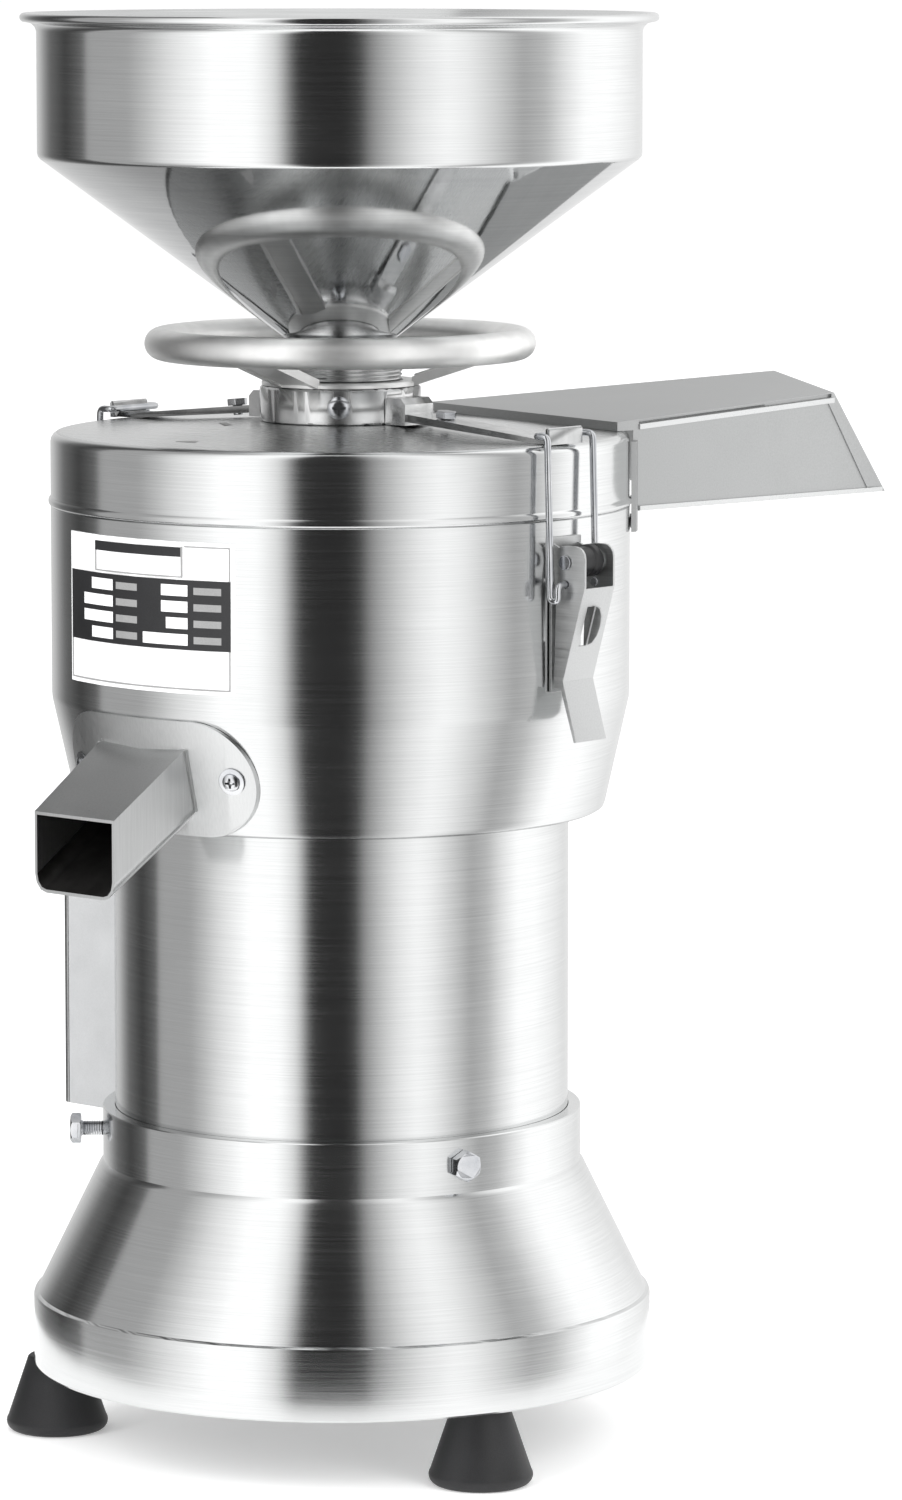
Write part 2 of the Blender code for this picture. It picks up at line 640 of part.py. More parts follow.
def build_lid(axis):
    skirt = BOWL_RADIUS - LID_SHEET + 2 * GAP
    bore = TUBE_RADIUS + 1.0
    boss_top = lid_top_z + LID_BOSS_HEIGHT
    under = lid_top_z - LID_SHEET
    lid = turned("lid", [
        (LID_BOSS_RADIUS, boss_top), (LID_BOSS_RADIUS, lid_top_z), (BOWL_RADIUS - 5, lid_top_z),
        (BOWL_RADIUS - 1.5, lid_top_z - 1.5), (BOWL_RADIUS, lid_top_z - 5),
        (BOWL_RADIUS, lid_z + 4), (BOWL_RADIUS + LID_BEAD, lid_z + 3.2),
        (BOWL_RADIUS + LID_BEAD, lid_z + 0.8), (BOWL_RADIUS + LID_BEAD - 0.8, lid_z),
        (skirt, lid_z), (skirt, under - 3), (skirt - 3, under), (bore, under), (bore, boss_top)],
        satin_steel(), axis)
    turned("lid_gasket", [
        (skirt - GAP, under - 3 - GAP), (skirt - GAP, bowl_rim_z + GAP),
        (skirt - GAP - 3, bowl_rim_z + GAP), (skirt - GAP - 3, under - GAP)],
        white_silicone(), axis)
    return lid


def build_chute(axis, bowl, lid):
    """A sheet hood over the residue outlet, open below, with a sloping end."""
    side = frame("chute_place", axis, CHUTE_AZIMUTH)
    foot = lid_top_z - CHUTE_DEPTH + 5
    rise = tan(radians(CHUTE_RISE))
    skew = tan(radians(CHUTE_END_SKEW))
    clear = BOWL_RADIUS + LID_BEAD + GAP

    def top_at(out):
        return lid_top_z + 5 + (out - CHUTE_INNER_EDGE) * rise

    def hood(inset, start, low):
        def corner(x, y, z):
            if y > 0:
                return x * (CHUTE_ROOT_WIDTH / 2 - inset), -start, (
                    top_at(start) - inset if z > 0 else low)
            width = CHUTE_END_WIDTH / 2 - inset
            out = CHUTE_REACH + (x * width + CHUTE_END_WIDTH / 2) * skew - inset
            if z > 0:
                return x * width, -out, top_at(out) - inset
            narrowing = (CHUTE_ROOT_WIDTH - CHUTE_END_WIDTH) / 2 / (out - start)
            run = CHUTE_END_RUN * (top_at(out) - low) / (top_at(out) - foot)
            run /= 1 + x * narrowing * skew
            return x * (width - narrowing * run), -out - run, low
        return corner

    chute = block("residue_chute", hood(0, CHUTE_INNER_EDGE, foot), satin_steel(), side)
    band = turned("chute_flange", [
        (clear + 2.5, lid_top_z - 5), (clear + 2.5, foot - CHUTE_FLANGE_DROP),
        (clear - 3, foot - CHUTE_FLANGE_DROP), (clear - 3, lid_top_z - 5)], parent=axis, guide=True)
    half = CHUTE_FLANGE_WIDTH / 2
    boolean(band, box("chute_flange_limit", (-half, -clear - 20, 0), (half, -60, lid_top_z),
                      parent=side, guide=True), "INTERSECT")
    join(chute, band)
    cut(chute, block("chute_hollow",
                     hood(CHUTE_SHEET, CHUTE_INNER_EDGE + CHUTE_SHEET, foot - 4),
                     parent=side, guide=True))
    cut(chute, rod("chute_lid_clearance", clear, foot - 20, lid_top_z + GAP, ROUND,
                   parent=axis, guide=True))
    half = CHUTE_ROOT_WIDTH / 2 - 9
    cut(bowl, box("bowl_residue_notch", (-half, -clear, foot + CHUTE_SHEET),
                  (half, -100, bowl_rim_z + 5), parent=side, guide=True))
    cut(lid, box("lid_residue_notch", (-half - 2, -clear - 10, lid_z - 8),
                 (half + 2, -100, lid_top_z - 9), parent=side, guide=True))
    return chute


def build_spout(axis, bowl):
    """Milk spout: a duct that slopes down from a flange bent round the bowl's taper."""
    root = bowl_radius_at(spout_z)
    slope = tan(radians(SPOUT_SLOPE))
    root_z = spout_z - 3.5

    def duct(inset, start, end):
        def corner(x, y, z):
            out = start if y > 0 else end
            share = (out - root) / (SPOUT_REACH - root)
            width = SPOUT_ROOT_WIDTH + (SPOUT_MOUTH_WIDTH - SPOUT_ROOT_WIDTH) * share
            height = SPOUT_ROOT_HEIGHT + (SPOUT_MOUTH_HEIGHT - SPOUT_ROOT_HEIGHT) * share
            middle = root_z - (out - root) * slope
            return x * (width / 2 - inset), -out, middle + z * (height / 2 - inset)
        return corner

    def round_lower_edges(shape_object, radius):
        shape = bmesh.new()
        shape.from_mesh(shape_object.data)
        low = [e for e in shape.edges if abs(e.verts[0].co.y - e.verts[1].co.y) > 0.02
               and all(v.co.z < (root_z - (-v.co.y / MM - root) * slope) * MM for v in e.verts)]
        bmesh.ops.bevel(shape, geom=low, offset=radius * MM, segments=3, profile=0.5,
                        affect="EDGES")
        shape.to_mesh(shape_object.data)
        shape.free()

    spout = block("milk_spout", duct(0, root - 8, SPOUT_REACH), satin_steel(), axis)
    round_lower_edges(spout, SPOUT_CORNER)
    hollow = block("spout_hollow", duct(SPOUT_SHEET, root - 25, SPOUT_REACH + 10), parent=axis,
                   guide=True)
    round_lower_edges(hollow, SPOUT_CORNER - SPOUT_SHEET)
    low, high = spout_z - SPOUT_FLANGE_HEIGHT / 2 - 1, spout_z + SPOUT_FLANGE_HEIGHT / 2 + 1
    thick = SPOUT_FLANGE_THICKNESS
    end = SPOUT_FLANGE_HEIGHT / 2
    run = SPOUT_FLANGE_LENGTH / 2 - end
    outline = arc((run, 0), end, -90, 90, 8) + arc((-run, 0), end, 90, 270, 8)
    join(spout, wrapped("spout_flange", lambda z: (
        bowl_radius_at(z) - 1, bowl_radius_at(z) + GAP + thick), low, high, outline,
        parent=axis, guide=True))
    bowl_space = turned("spout_bowl_clearance", [
        (0, high + 20), (bowl_radius_at(high) + GAP, high + 20),
        (bowl_radius_at(high) + GAP, taper_top_z), (BOWL_FOOT_RADIUS + GAP, bowl_z + 2.5),
        (BOWL_FOOT_RADIUS + GAP, low - 20), (0, low - 20)], parent=axis, closed=False, guide=True)
    cut(spout, bowl_space, hollow)
    cut(bowl, hollow)
    tilt = degrees(atan2(BOWL_RADIUS - BOWL_FOOT_RADIUS, BOWL_TAPER_HEIGHT - 2.5))
    seat = root + GAP + thick + GAP
    for name, sign in (("left", -1), ("right", 1)):
        side = frame(f"spout_screw_{name}_place", axis, sign * SPOUT_SCREW_ANGLE)
        bolt(f"spout_screw_{name}", 4.6, 2.6, 2.3, 7, zinc_steel(), side, sides=12,
             place=(0, -seat, spout_z), turn=(90 + tilt, 0, 0))
        hole = rod(f"spout_screw_hole_{name}", 2.3 + GAP, -10, 3, parent=side, guide=True,
                   place=(0, -seat, spout_z), turn=(90 + tilt, 0, 0))
        cut(spout, hole)
        cut(bowl, hole)
    return spout


def build_basket(rotor):
    top = basket_z + BASKET_HEIGHT
    rim = top - 4
    floor = basket_z + BASKET_FLOOR
    bore = SPINDLE_RADIUS + GAP
    turned("straining_basket", [
        (BASKET_RIM_RADIUS, top), (BASKET_RIM_RADIUS, rim), (BASKET_BASE_RADIUS, basket_z),
        (bore, basket_z), (bore, floor), (BASKET_BASE_RADIUS + 1, floor),
        (BASKET_RIM_RADIUS - BASKET_SHEET, rim + 1), (BASKET_RIM_RADIUS - BASKET_SHEET, top)],
        satin_steel(), rotor, facets=SMALL_ROUND)
    stone_top = lower_stone_z + STONE_THICKNESS
    recess = stone_top - NUT_RECESS
    turned("lower_stone", [
        (STONE_RADIUS, stone_top), (STONE_RADIUS, lower_stone_z), (bore, lower_stone_z),
        (bore, recess), (STONE_EYE_RADIUS, recess), (STONE_EYE_RADIUS + 6, stone_top - 3),
        (STONE_RADIUS - 12, stone_top)], grindstone(), rotor, facets=SMALL_ROUND)
    nut = rod("stone_nut", NUT_RADIUS, recess + GAP, recess + NUT_RECESS * 0.7, 6, zinc_steel(),
              rotor)
    cut(nut, rod("stone_nut_bore", bore, recess - 2, stone_top, SMALL_ROUND, parent=rotor,
                 guide=True))


def build_feed(feed):
    turned("feed_tube", [
        (TUBE_RADIUS, tube_top_z), (TUBE_RADIUS, tube_z), (tube_bore, tube_z),
        (tube_bore, tube_top_z)], satin_steel(), feed, facets=SMALL_ROUND)
    collar = tube_z + HOLDER_SLEEVE
    plate_top = holder_z + HOLDER_THICKNESS
    turned("stone_holder", [
        (TUBE_RADIUS + 8, collar), (TUBE_RADIUS + 8, plate_top), (HOLDER_RADIUS, plate_top - 0.5),
        (HOLDER_RADIUS, holder_z), (STONE_EYE_RADIUS, holder_z), (STONE_EYE_RADIUS, plate_top),
        (TUBE_RADIUS + GAP, plate_top), (TUBE_RADIUS + GAP, collar)], cast_aluminium(), feed,
        facets=SMALL_ROUND)
    top = upper_stone_z + STONE_THICKNESS
    turned("upper_stone", [
        (STONE_RADIUS, top), (STONE_RADIUS, upper_stone_z), (STONE_RADIUS - 12, upper_stone_z),
        (STONE_EYE_RADIUS, upper_stone_z + 4), (STONE_EYE_RADIUS, top)], grindstone(), feed,
        facets=SMALL_ROUND)


def build_yoke(axis):
    """The ring round the handwheel's sleeve and its two arms, which the latches pull down."""
    bore = YOKE_RADIUS - YOKE_WALL
    yoke = turned("clamp_yoke", [
        (YOKE_RADIUS, yoke_top_z), (YOKE_RADIUS, yoke_z), (bore, yoke_z), (bore, yoke_top_z)],
        cast_aluminium(), axis)
    lip_in = BOWL_RADIUS - 1.2
    lip_out = BOWL_RADIUS + 1.3
    rest = lid_top_z + GAP
    lip_top = arm_top_z + LIP_HEIGHT
    lug = yoke_z + YOKE_HEIGHT * 0.75
    for name, azimuth in (("right", LATCH_AZIMUTH), ("left", LATCH_AZIMUTH - 180)):
        side = frame(f"arm_{name}_place", axis, azimuth)
        root = bore + 2.5
        join(yoke, side_plate(f"lug_{name}", [
            (root, lug), (root, yoke_z), (YOKE_RADIUS + 12, yoke_z),
            (YOKE_RADIUS + 12, lug - 3), (YOKE_RADIUS + 9, lug)], ARM_WIDTH + 4,
            parent=side, guide=True))
        join(yoke, side_plate(f"arm_{name}", [
            (YOKE_RADIUS + 8, yoke_z + 6), (YOKE_RADIUS + 8, yoke_z + 2),
            (BOWL_RADIUS - 12, rest), (lip_out - 0.5, rest), (lip_out - 0.5, arm_top_z),
            (BOWL_RADIUS - 11, arm_top_z)], ARM_WIDTH, parent=side, guide=True))
        join(yoke, side_plate(f"lip_{name}", [
            (lip_in, lip_top - 1), (lip_in, rest), (lip_out, rest), (lip_out, lip_top - 1),
            (lip_out - 0.9, lip_top), (lip_in + 0.9, lip_top)], LIP_WIDTH,
            parent=side, guide=True))
        spot = YOKE_RADIUS + 30
        drop = (yoke_z + 6 - arm_top_z) / (BOWL_RADIUS - 11 - YOKE_RADIUS - 8)
        surface = yoke_z + 6 - (spot - YOKE_RADIUS - 8) * drop
        lean = -degrees(atan2(drop, 1))
        bolt(f"arm_bolt_{name}", 5.5, 3.6, 2.5, 5, zinc_steel(), side,
             place=(0, -spot, surface + GAP), turn=(-lean, 0, 0))
        cut(yoke, rod(f"arm_hole_{name}", 2.5 + GAP, -8, 4, parent=side, guide=True,
                      place=(0, -spot, surface + GAP), turn=(-lean, 0, 0)))
    side = frame("lock_screw_place", axis, 42.0)
    middle = (yoke_z + yoke_top_z) / 2
    seat = YOKE_RADIUS + GAP
    bolt("lock_screw", 6, 3.6, 3, YOKE_WALL - 0.2, zinc_steel(), side, sides=12,
         place=(0, -seat, middle), turn=(90, 0, 0))
    cut(yoke, rod("lock_screw_hole", 3 + GAP, -10, 4, parent=side, guide=True,
                  place=(0, -seat, middle), turn=(90, 0, 0)))


def build_wheel(wheel):
    """Handwheel: a ring and three flat spokes on the nut that lifts the feed tube."""
    sleeve = YOKE_RADIUS - YOKE_WALL - GAP
    thread = TUBE_RADIUS + 0.4
    hub_z = yoke_top_z + GAP
    bpy.ops.mesh.primitive_torus_add(major_segments=ROUND, minor_segments=8,
                                     major_radius=WHEEL_RADIUS * MM,
                                     minor_radius=WHEEL_SECTION_RADIUS * MM)
    primitive = bpy.context.object
    mesh = primitive.data.copy()
    bpy.data.objects.remove(primitive, do_unlink=True)
    made = add("handwheel", mesh, cast_aluminium(), wheel, place=(0, 0, wheel_z))
    join(made, turned("wheel_hub", [
        (YOKE_RADIUS - 1, hub_top_z), (YOKE_RADIUS - 1, hub_z), (sleeve, hub_z),
        (sleeve, yoke_z + 2), (thread, yoke_z + 2), (thread, hub_top_z)],
        parent=wheel, guide=True))
    start = YOKE_RADIUS - 4
    low = hub_z + SPOKE_THICKNESS / 2 + SPOKE_RAIL + 0.6
    end = WHEEL_RADIUS - 3
    rise = wheel_z - 2 - low
    length = hypot(end - start, rise)
    lean = degrees(atan2(rise, end - start))
    half = SPOKE_WIDTH / 2
    flat = SPOKE_THICKNESS / 2
    edge = flat + SPOKE_RAIL
    section = [(-half, -edge), (-half + 3, -edge), (-half + 3, -flat), (half - 3, -flat),
               (half - 3, -edge), (half, -edge), (half, edge), (half - 3, edge),
               (half - 3, flat), (-half + 3, flat), (-half + 3, edge), (-half, edge)]
    for number in range(3):
        side = frame(f"spoke_{number + 1}_place", wheel, SPOKE_AZIMUTH + 120 * number)
        middle = (0, -(start + end) / 2, low + rise / 2)
        join(made, plate(f"spoke_{number + 1}", section, length, parent=side, guide=True,
                         place=middle, turn=(90 - lean, 0, 0)))
    return made


def build_hopper(hopper):
    wall = HOPPER_SHEET
    slope = HOPPER_CONE_HEIGHT / (HOPPER_RADIUS - neck_radius)
    lift = wall * sqrt(1 + slope * slope) - wall * slope
    low = tube_top_z - NECK_LENGTH
    turned("hopper", [
        (HOPPER_RIM_RADIUS, hopper_top_z), (HOPPER_RIM_RADIUS, hopper_top_z - 1.2),
        (HOPPER_RADIUS + 2.5, hopper_lip_z + 1.6), (HOPPER_RADIUS, hopper_lip_z - 1.5),
        (HOPPER_RADIUS, hopper_wall_z + 2), (HOPPER_RADIUS - 1.6, hopper_wall_z - 0.4),
        (neck_radius, tube_top_z), (neck_radius, low), (neck_radius - wall, low),
        (neck_radius - wall, tube_top_z + lift),
        (HOPPER_RADIUS - wall - 1.6, hopper_wall_z + lift),
        (HOPPER_RADIUS - wall, hopper_wall_z + 3), (HOPPER_RADIUS - wall, hopper_lip_z - 1.0),
        (HOPPER_RADIUS - wall + 2.4, hopper_lip_z + 2.6),
        (HOPPER_RIM_RADIUS - 1.0, hopper_top_z)], polished_steel(), hopper)


def smooth_corners(points, radius, steps):
    """A path with each inner corner replaced by an arc."""
    path = [Vector(points[0])]
    for before, corner, after in zip(points, points[1:], points[2:]):
        corner = Vector(corner)
        back = (Vector(before) - corner).normalized()
        on = (Vector(after) - corner).normalized()
        half = back.angle(on) / 2
        reach = min(radius / tan(half), (Vector(before) - corner).length * 0.49,
                    (Vector(after) - corner).length * 0.49)
        first, last = corner + back * reach, corner + on * reach
        for i in range(steps + 1):
            share = i / steps
            path.append(first * (1 - share) ** 2 + corner * 2 * share * (1 - share)
                        + last * share ** 2)
    path.append(Vector(points[-1]))
    return path


def build_latch(axis, name, azimuth):
    side = frame(f"latch_{name}_place", axis, azimuth)
    skin = BOWL_RADIUS + GAP
    ear_in = LEVER_WIDTH / 2 - LEVER_SHEET - GAP
    pivot = (0, -pivot_radius, pivot_z)
    base_top = pivot_z + LATCH_BASE_RISE
    half = LATCH_BASE_WIDTH / 2
    base = box(f"latch_base_{name}", (-half, -skin - LEVER_SHEET, base_top - LATCH_BASE_HEIGHT),
               (half, -skin, base_top), satin_steel(), side)
    root = -pivot_radius + skin + 0.8
    ear = [(root, 9)] + arc((0, 0), 6.5, 115, -115, 8) + [(root, -12)]
    for label, sign in (("a", -1), ("b", 1)):
        join(base, side_plate(f"base_ear_{name}_{label}", ear, LEVER_SHEET,
                              sign * (ear_in - LEVER_SHEET / 2), parent=side, place=pivot,
                              guide=True))
    hole = rod(f"pin_hole_{name}", PIN_RADIUS + GAP, -LEVER_WIDTH, LEVER_WIDTH, parent=side,
               place=pivot, turn=(0, 90, 0), guide=True)
    cut(base, hole)
    pin_half = LEVER_WIDTH / 2 + GAP
    pin = rod(f"latch_pin_{name}", PIN_RADIUS, -pin_half - 0.5, pin_half + 0.5,
              material=zinc_steel(), parent=side, place=pivot, turn=(0, 90, 0))
    for label, sign in (("a", -1), ("b", 1)):
        low, high = sorted((sign * pin_half, sign * (pin_half + 0.9)))
        join(pin, rod(f"pin_head_{name}_{label}", 3.8, low, high, parent=side, place=pivot,
                      turn=(0, 90, 0), guide=True))
    build_lever(side, name, pivot, hole)
    build_bail(side, name)


def build_lever(side, name, pivot, hole):
    """Lever: two ears and a web from one bent strip, with a thumb tab kicked outward."""
    sheet = LEVER_SHEET
    bend = (-1.6, -LEVER_LENGTH)
    web_top = (EAR_REACH, -12.0)
    tab = (bend[0] + 8.6, bend[1] - TAB_LENGTH)
    outline = ([tab, bend, web_top] + arc((EAR_REACH - 6, 2.5), 6, 0, 90, 4)
               + arc((0, 0), EAR_RADIUS, 90, 180, 4)
               + [(-EAR_RADIUS + 2.5, -14), (-EAR_RADIUS + 1, bend[1] - 4),
                  (bend[0] - sheet, bend[1] - 4), (tab[0] - sheet, tab[1] - 0.5)])
    lever = side_plate(f"latch_lever_{name}", outline, LEVER_WIDTH, material=satin_steel(),
                       parent=side, place=pivot)
    inside = [(web_top[0] - sheet, web_top[1] - 0.5), (bend[0] - sheet, bend[1]),
              (bend[0] - sheet, bend[1] - 6), (-EAR_RADIUS - 6, bend[1] - 6),
              (-EAR_RADIUS - 6, EAR_RADIUS + 4), (EAR_REACH + 4, EAR_RADIUS + 4),
              (EAR_REACH + 4, web_top[1] - 0.5)]
    cut(lever, side_plate(f"lever_hollow_{name}", inside, LEVER_WIDTH - 2 * sheet, parent=side,
                          place=pivot, guide=True))
    cut_lever_slot(side, name, pivot, lever, web_top, bend)
    cut(lever, hole)
    cut(lever, rod(f"hook_hole_{name}", WIRE_RADIUS + 0.4, -LEVER_WIDTH, LEVER_WIDTH,
                   parent=side, place=(pivot[0], pivot[1], pivot[2] - HOOK_ARM),
                   turn=(0, 90, 0), guide=True))


def cut_lever_slot(side, name, pivot, lever, web_top, bend):
    """A slot in the lever's web, with the half ring that was pressed out of it beside it."""
    share = 0.42
    middle = [web_top[i] + (bend[i] - web_top[i]) * share for i in range(2)]
    slope = (web_top[0] - bend[0]) / (web_top[1] - bend[1])
    half = LEVER_SLOT_HEIGHT / 2

    def on_web(up, off):
        return middle[0] + up * slope + off, middle[1] + up

    opening = [on_web(-half, -4), on_web(half, -4), on_web(half, 4), on_web(-half, 4)]
    cut(lever, side_plate(f"lever_slot_{name}", opening, LEVER_SLOT_WIDTH,
                          -LEVER_SLOT_WIDTH / 2, parent=side, place=pivot, guide=True))
    ring = [on_web(half * cos(a), LEVER_LOOP_REACH * sin(a))
            for a in [pi * step / 6 for step in range(7)]]
    ring += [on_web(-half, -LEVER_SHEET / 2), on_web(half, -LEVER_SHEET / 2)]
    join(lever, side_plate(f"lever_loop_{name}", ring, LEVER_SHEET, LEVER_SHEET,
                           parent=side, place=pivot, guide=True))


def build_bail(side, name):
    """Wire bail: hooked ends in the lever's ears, and a cross wire behind the arm's lip."""
    wide = BAIL_HALF_WIDTH
    top = arm_top_z + GAP + WIRE_RADIUS - (pivot_z - HOOK_ARM)
    leg = BOWL_RADIUS + LID_BEAD + WIRE_RADIUS + 1.0 - pivot_radius
    cross = BOWL_RADIUS - 3.9 - pivot_radius
    half = [(LEVER_WIDTH / 2 - 2.3, 0, 0), (wide, 0, 0), (wide, 0, -8),
            (wide, 2.6 * WIRE_RADIUS, -8), (wide, -leg, top), (wide, -cross, top)]
    corners = half + [(-x, y, z) for x, y, z in reversed(half)]
    path = smooth_corners(corners, 3.0, 2)
    curve = bpy.data.curves.new(f"latch_bail_{name}", "CURVE")
    curve.dimensions = "3D"
    curve.bevel_depth = WIRE_RADIUS * MM
    curve.bevel_resolution = 1
    curve.use_fill_caps = True
    spline = curve.splines.new("POLY")
    spline.points.add(len(path) - 1)
    for point, spot in zip(spline.points, path):
        point.co = (*(spot * MM), 1.0)
    drawn = bpy.data.objects.new(f"bail_path_{name}", curve)
    parts.objects.link(drawn)
    add(f"latch_bail_{name}", curve_to_mesh(drawn), zinc_steel(), side,
        place=(0, -pivot_radius, pivot_z - HOOK_ARM))


def build_switch_box(axis):
    side = frame("switch_box_place", axis, BOX_AZIMUTH)
    low = collar_top_z - 15
    high = low + BOX_HEIGHT
    half = BOX_WIDTH / 2
    front = BOX_REACH - COVER_THICKNESS - GAP
    back = HOUSING_RADIUS + 10
    room = front - back
    switch_back = front - room * SWITCH_DEPTH_SHARE
    well_back = front - room * SWITCH_DEPTH_SHARE * 0.7
    capacitor_radius = room / 2 - CAPACITOR_CLEARANCE
    body = box("switch_box", (-half, -front, low), (half, -80, high), satin_steel(), side)
    cut(body, box("box_hollow", (-half + BOX_SHEET, -front - 5, low + BOX_SHEET),
                  (half - BOX_SHEET, -back, high - BOX_SHEET), parent=side, guide=True))
    cut(body, rod("box_housing_clearance", HOUSING_RADIUS + GAP, low - 20, high + 20, ROUND,
                  parent=axis, guide=True))
    cut(body, rod("box_collar_clearance", COLLAR_RADIUS + GAP, low - 20, collar_top_z + GAP,
                  ROUND, parent=axis, guide=True))
    cover = box("box_cover", (-half, -BOX_REACH, low), (half, -front - GAP, high),
                polished_steel(), side)
    switch_z = high - 45
    wide, tall = SWITCH_WIDTH / 2, SWITCH_HEIGHT / 2
    cut(cover, box("cover_window", (-wide + 2 - GAP, -BOX_REACH - 5, switch_z - tall + 2 - GAP),
                   (wide - 2 + GAP, -front + 5, switch_z + tall - 2 + GAP), parent=side,
                   guide=True))
    bezel = box("switch_bezel", (-wide, -BOX_REACH - GAP - 2, switch_z - tall),
                (wide, -BOX_REACH - GAP, switch_z + tall), black_plastic(), side)
    join(bezel, box("switch_body", (-wide + 2, -BOX_REACH - 1, switch_z - tall + 2),
                    (wide - 2, -switch_back, switch_z + tall - 2), parent=side, guide=True))
    cut(bezel, box("switch_well", (-wide + 3.3, -BOX_REACH - 10, switch_z - tall + 3.3),
                   (wide - 3.3, -well_back, switch_z + tall - 3.3), parent=side, guide=True))
    reach = tall - 3.3 - 1.1
    root = (well_back - BOX_REACH) / 2 + 2
    outline = [(root, -reach * 0.55), (4.6, -reach), (3.2, 0), (4.6, reach),
               (root, reach * 0.55)]
    rocker_place = frame("switch_rocker_place", side, 0, BOX_REACH - 2, switch_z)
    rocker_place.rotation_euler[0] = radians(-SWITCH_TILT)
    side_plate("switch_rocker", outline, 2 * (wide - 3.3 - 0.5), material=black_plastic(),
               parent=rocker_place)
    rod("run_capacitor", capacitor_radius, low + BOX_SHEET + GAP,
        low + BOX_SHEET + GAP + CAPACITOR_LENGTH, SMALL_ROUND, black_plastic(), side,
        place=(-half + BOX_SHEET + capacitor_radius + CAPACITOR_CLEARANCE, -back - room / 2, 0))
    gland = (COLLAR_RADIUS + front) / 2 + 2
    gland_place = frame("gland_place", side, 0, gland, 0)
    top = low - GAP
    turned("cable_gland", [
        (9, top), (9, top - 4), (7.5, top - 5), (7, top - 16), (4.5, top - 16), (4.5, top)],
        black_plastic(), gland_place, facets=12)


def main():
    clear_scene()
    axis = frame("machine_axis")
    axis.location = (0.0, AXIS_OFFSET * MM, 0.0)
    rotor = frame("rotor_axis", axis)
    feed = frame("feed_axis", axis)
    wheel = frame("wheel_axis", axis)
    hopper = frame("hopper_axis", axis)
    stand = build_stand(axis)
    housing, shield, upper = build_motor(axis, rotor)
    build_collar_bolts(axis, stand, housing, shield)
    bowl = build_bowl(axis, upper)
    build_plate(axis)
    lid = build_lid(axis)
    build_chute(axis, bowl, lid)
    build_spout(axis, bowl)
    build_basket(rotor)
    build_feed(feed)
    build_yoke(axis)
    build_wheel(wheel)
    build_hopper(hopper)
    build_latch(axis, "right", LATCH_AZIMUTH)
    build_latch(axis, "left", LATCH_AZIMUTH - 180)
    build_switch_box(axis)


main()
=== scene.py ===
from math import cos, radians, sin
import bpy
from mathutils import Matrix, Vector


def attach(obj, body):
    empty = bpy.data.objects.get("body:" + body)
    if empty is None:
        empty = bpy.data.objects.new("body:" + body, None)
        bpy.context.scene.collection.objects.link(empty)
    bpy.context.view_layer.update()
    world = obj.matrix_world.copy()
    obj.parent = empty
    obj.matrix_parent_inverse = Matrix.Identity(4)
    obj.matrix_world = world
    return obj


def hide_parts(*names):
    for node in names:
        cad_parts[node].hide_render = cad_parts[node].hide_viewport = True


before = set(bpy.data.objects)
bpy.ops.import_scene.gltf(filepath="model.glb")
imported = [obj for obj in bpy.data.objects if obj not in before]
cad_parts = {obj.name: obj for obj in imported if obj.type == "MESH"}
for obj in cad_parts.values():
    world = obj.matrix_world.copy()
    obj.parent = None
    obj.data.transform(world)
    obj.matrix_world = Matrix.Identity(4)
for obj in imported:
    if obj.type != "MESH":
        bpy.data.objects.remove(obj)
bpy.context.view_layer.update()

mm = 0.001
axisY = -0.083               # the machine's axis stands this far from the origin
finishes = {}


# Colours are written as sRGB and handed to the shaders as linear
def linear(code):
    values = [int(code[i:i + 2], 16) / 255 for i in (1, 3, 5)]
    return tuple(v / 12.92 if v <= 0.04045 else ((v + 0.055) / 1.055) ** 2.4 for v in values) + (1.0,)


def addNode(tree, kind, settings=None, values=None, links=None):
    node = tree.nodes.new("ShaderNode" + kind)
    for key, value in (settings or {}).items():
        setattr(node, key, value)
    for key, value in (values or {}).items():
        node.inputs[key].default_value = value
    for key, socket in (links or {}).items():
        tree.links.new(socket, node.inputs[key])
    return node


def newFinish(name, values):
    made = bpy.data.materials.new(name)
    made.use_nodes = True
    shader = made.node_tree.nodes["Principled BSDF"]
    for key, value in values.items():
        shader.inputs[key].default_value = value
    finishes[name] = made
    return made.node_tree, shader


def ramp(tree, fac, stops):
    node = addNode(tree, "ValToRGB", links={"Fac": fac})
    node.color_ramp.elements[0].position, node.color_ramp.elements[0].color = stops[0]
    node.color_ramp.elements[1].position, node.color_ramp.elements[1].color = stops[-1]
    for place, colour in stops[1:-1]:
        node.color_ramp.elements.new(place).color = colour
    return node


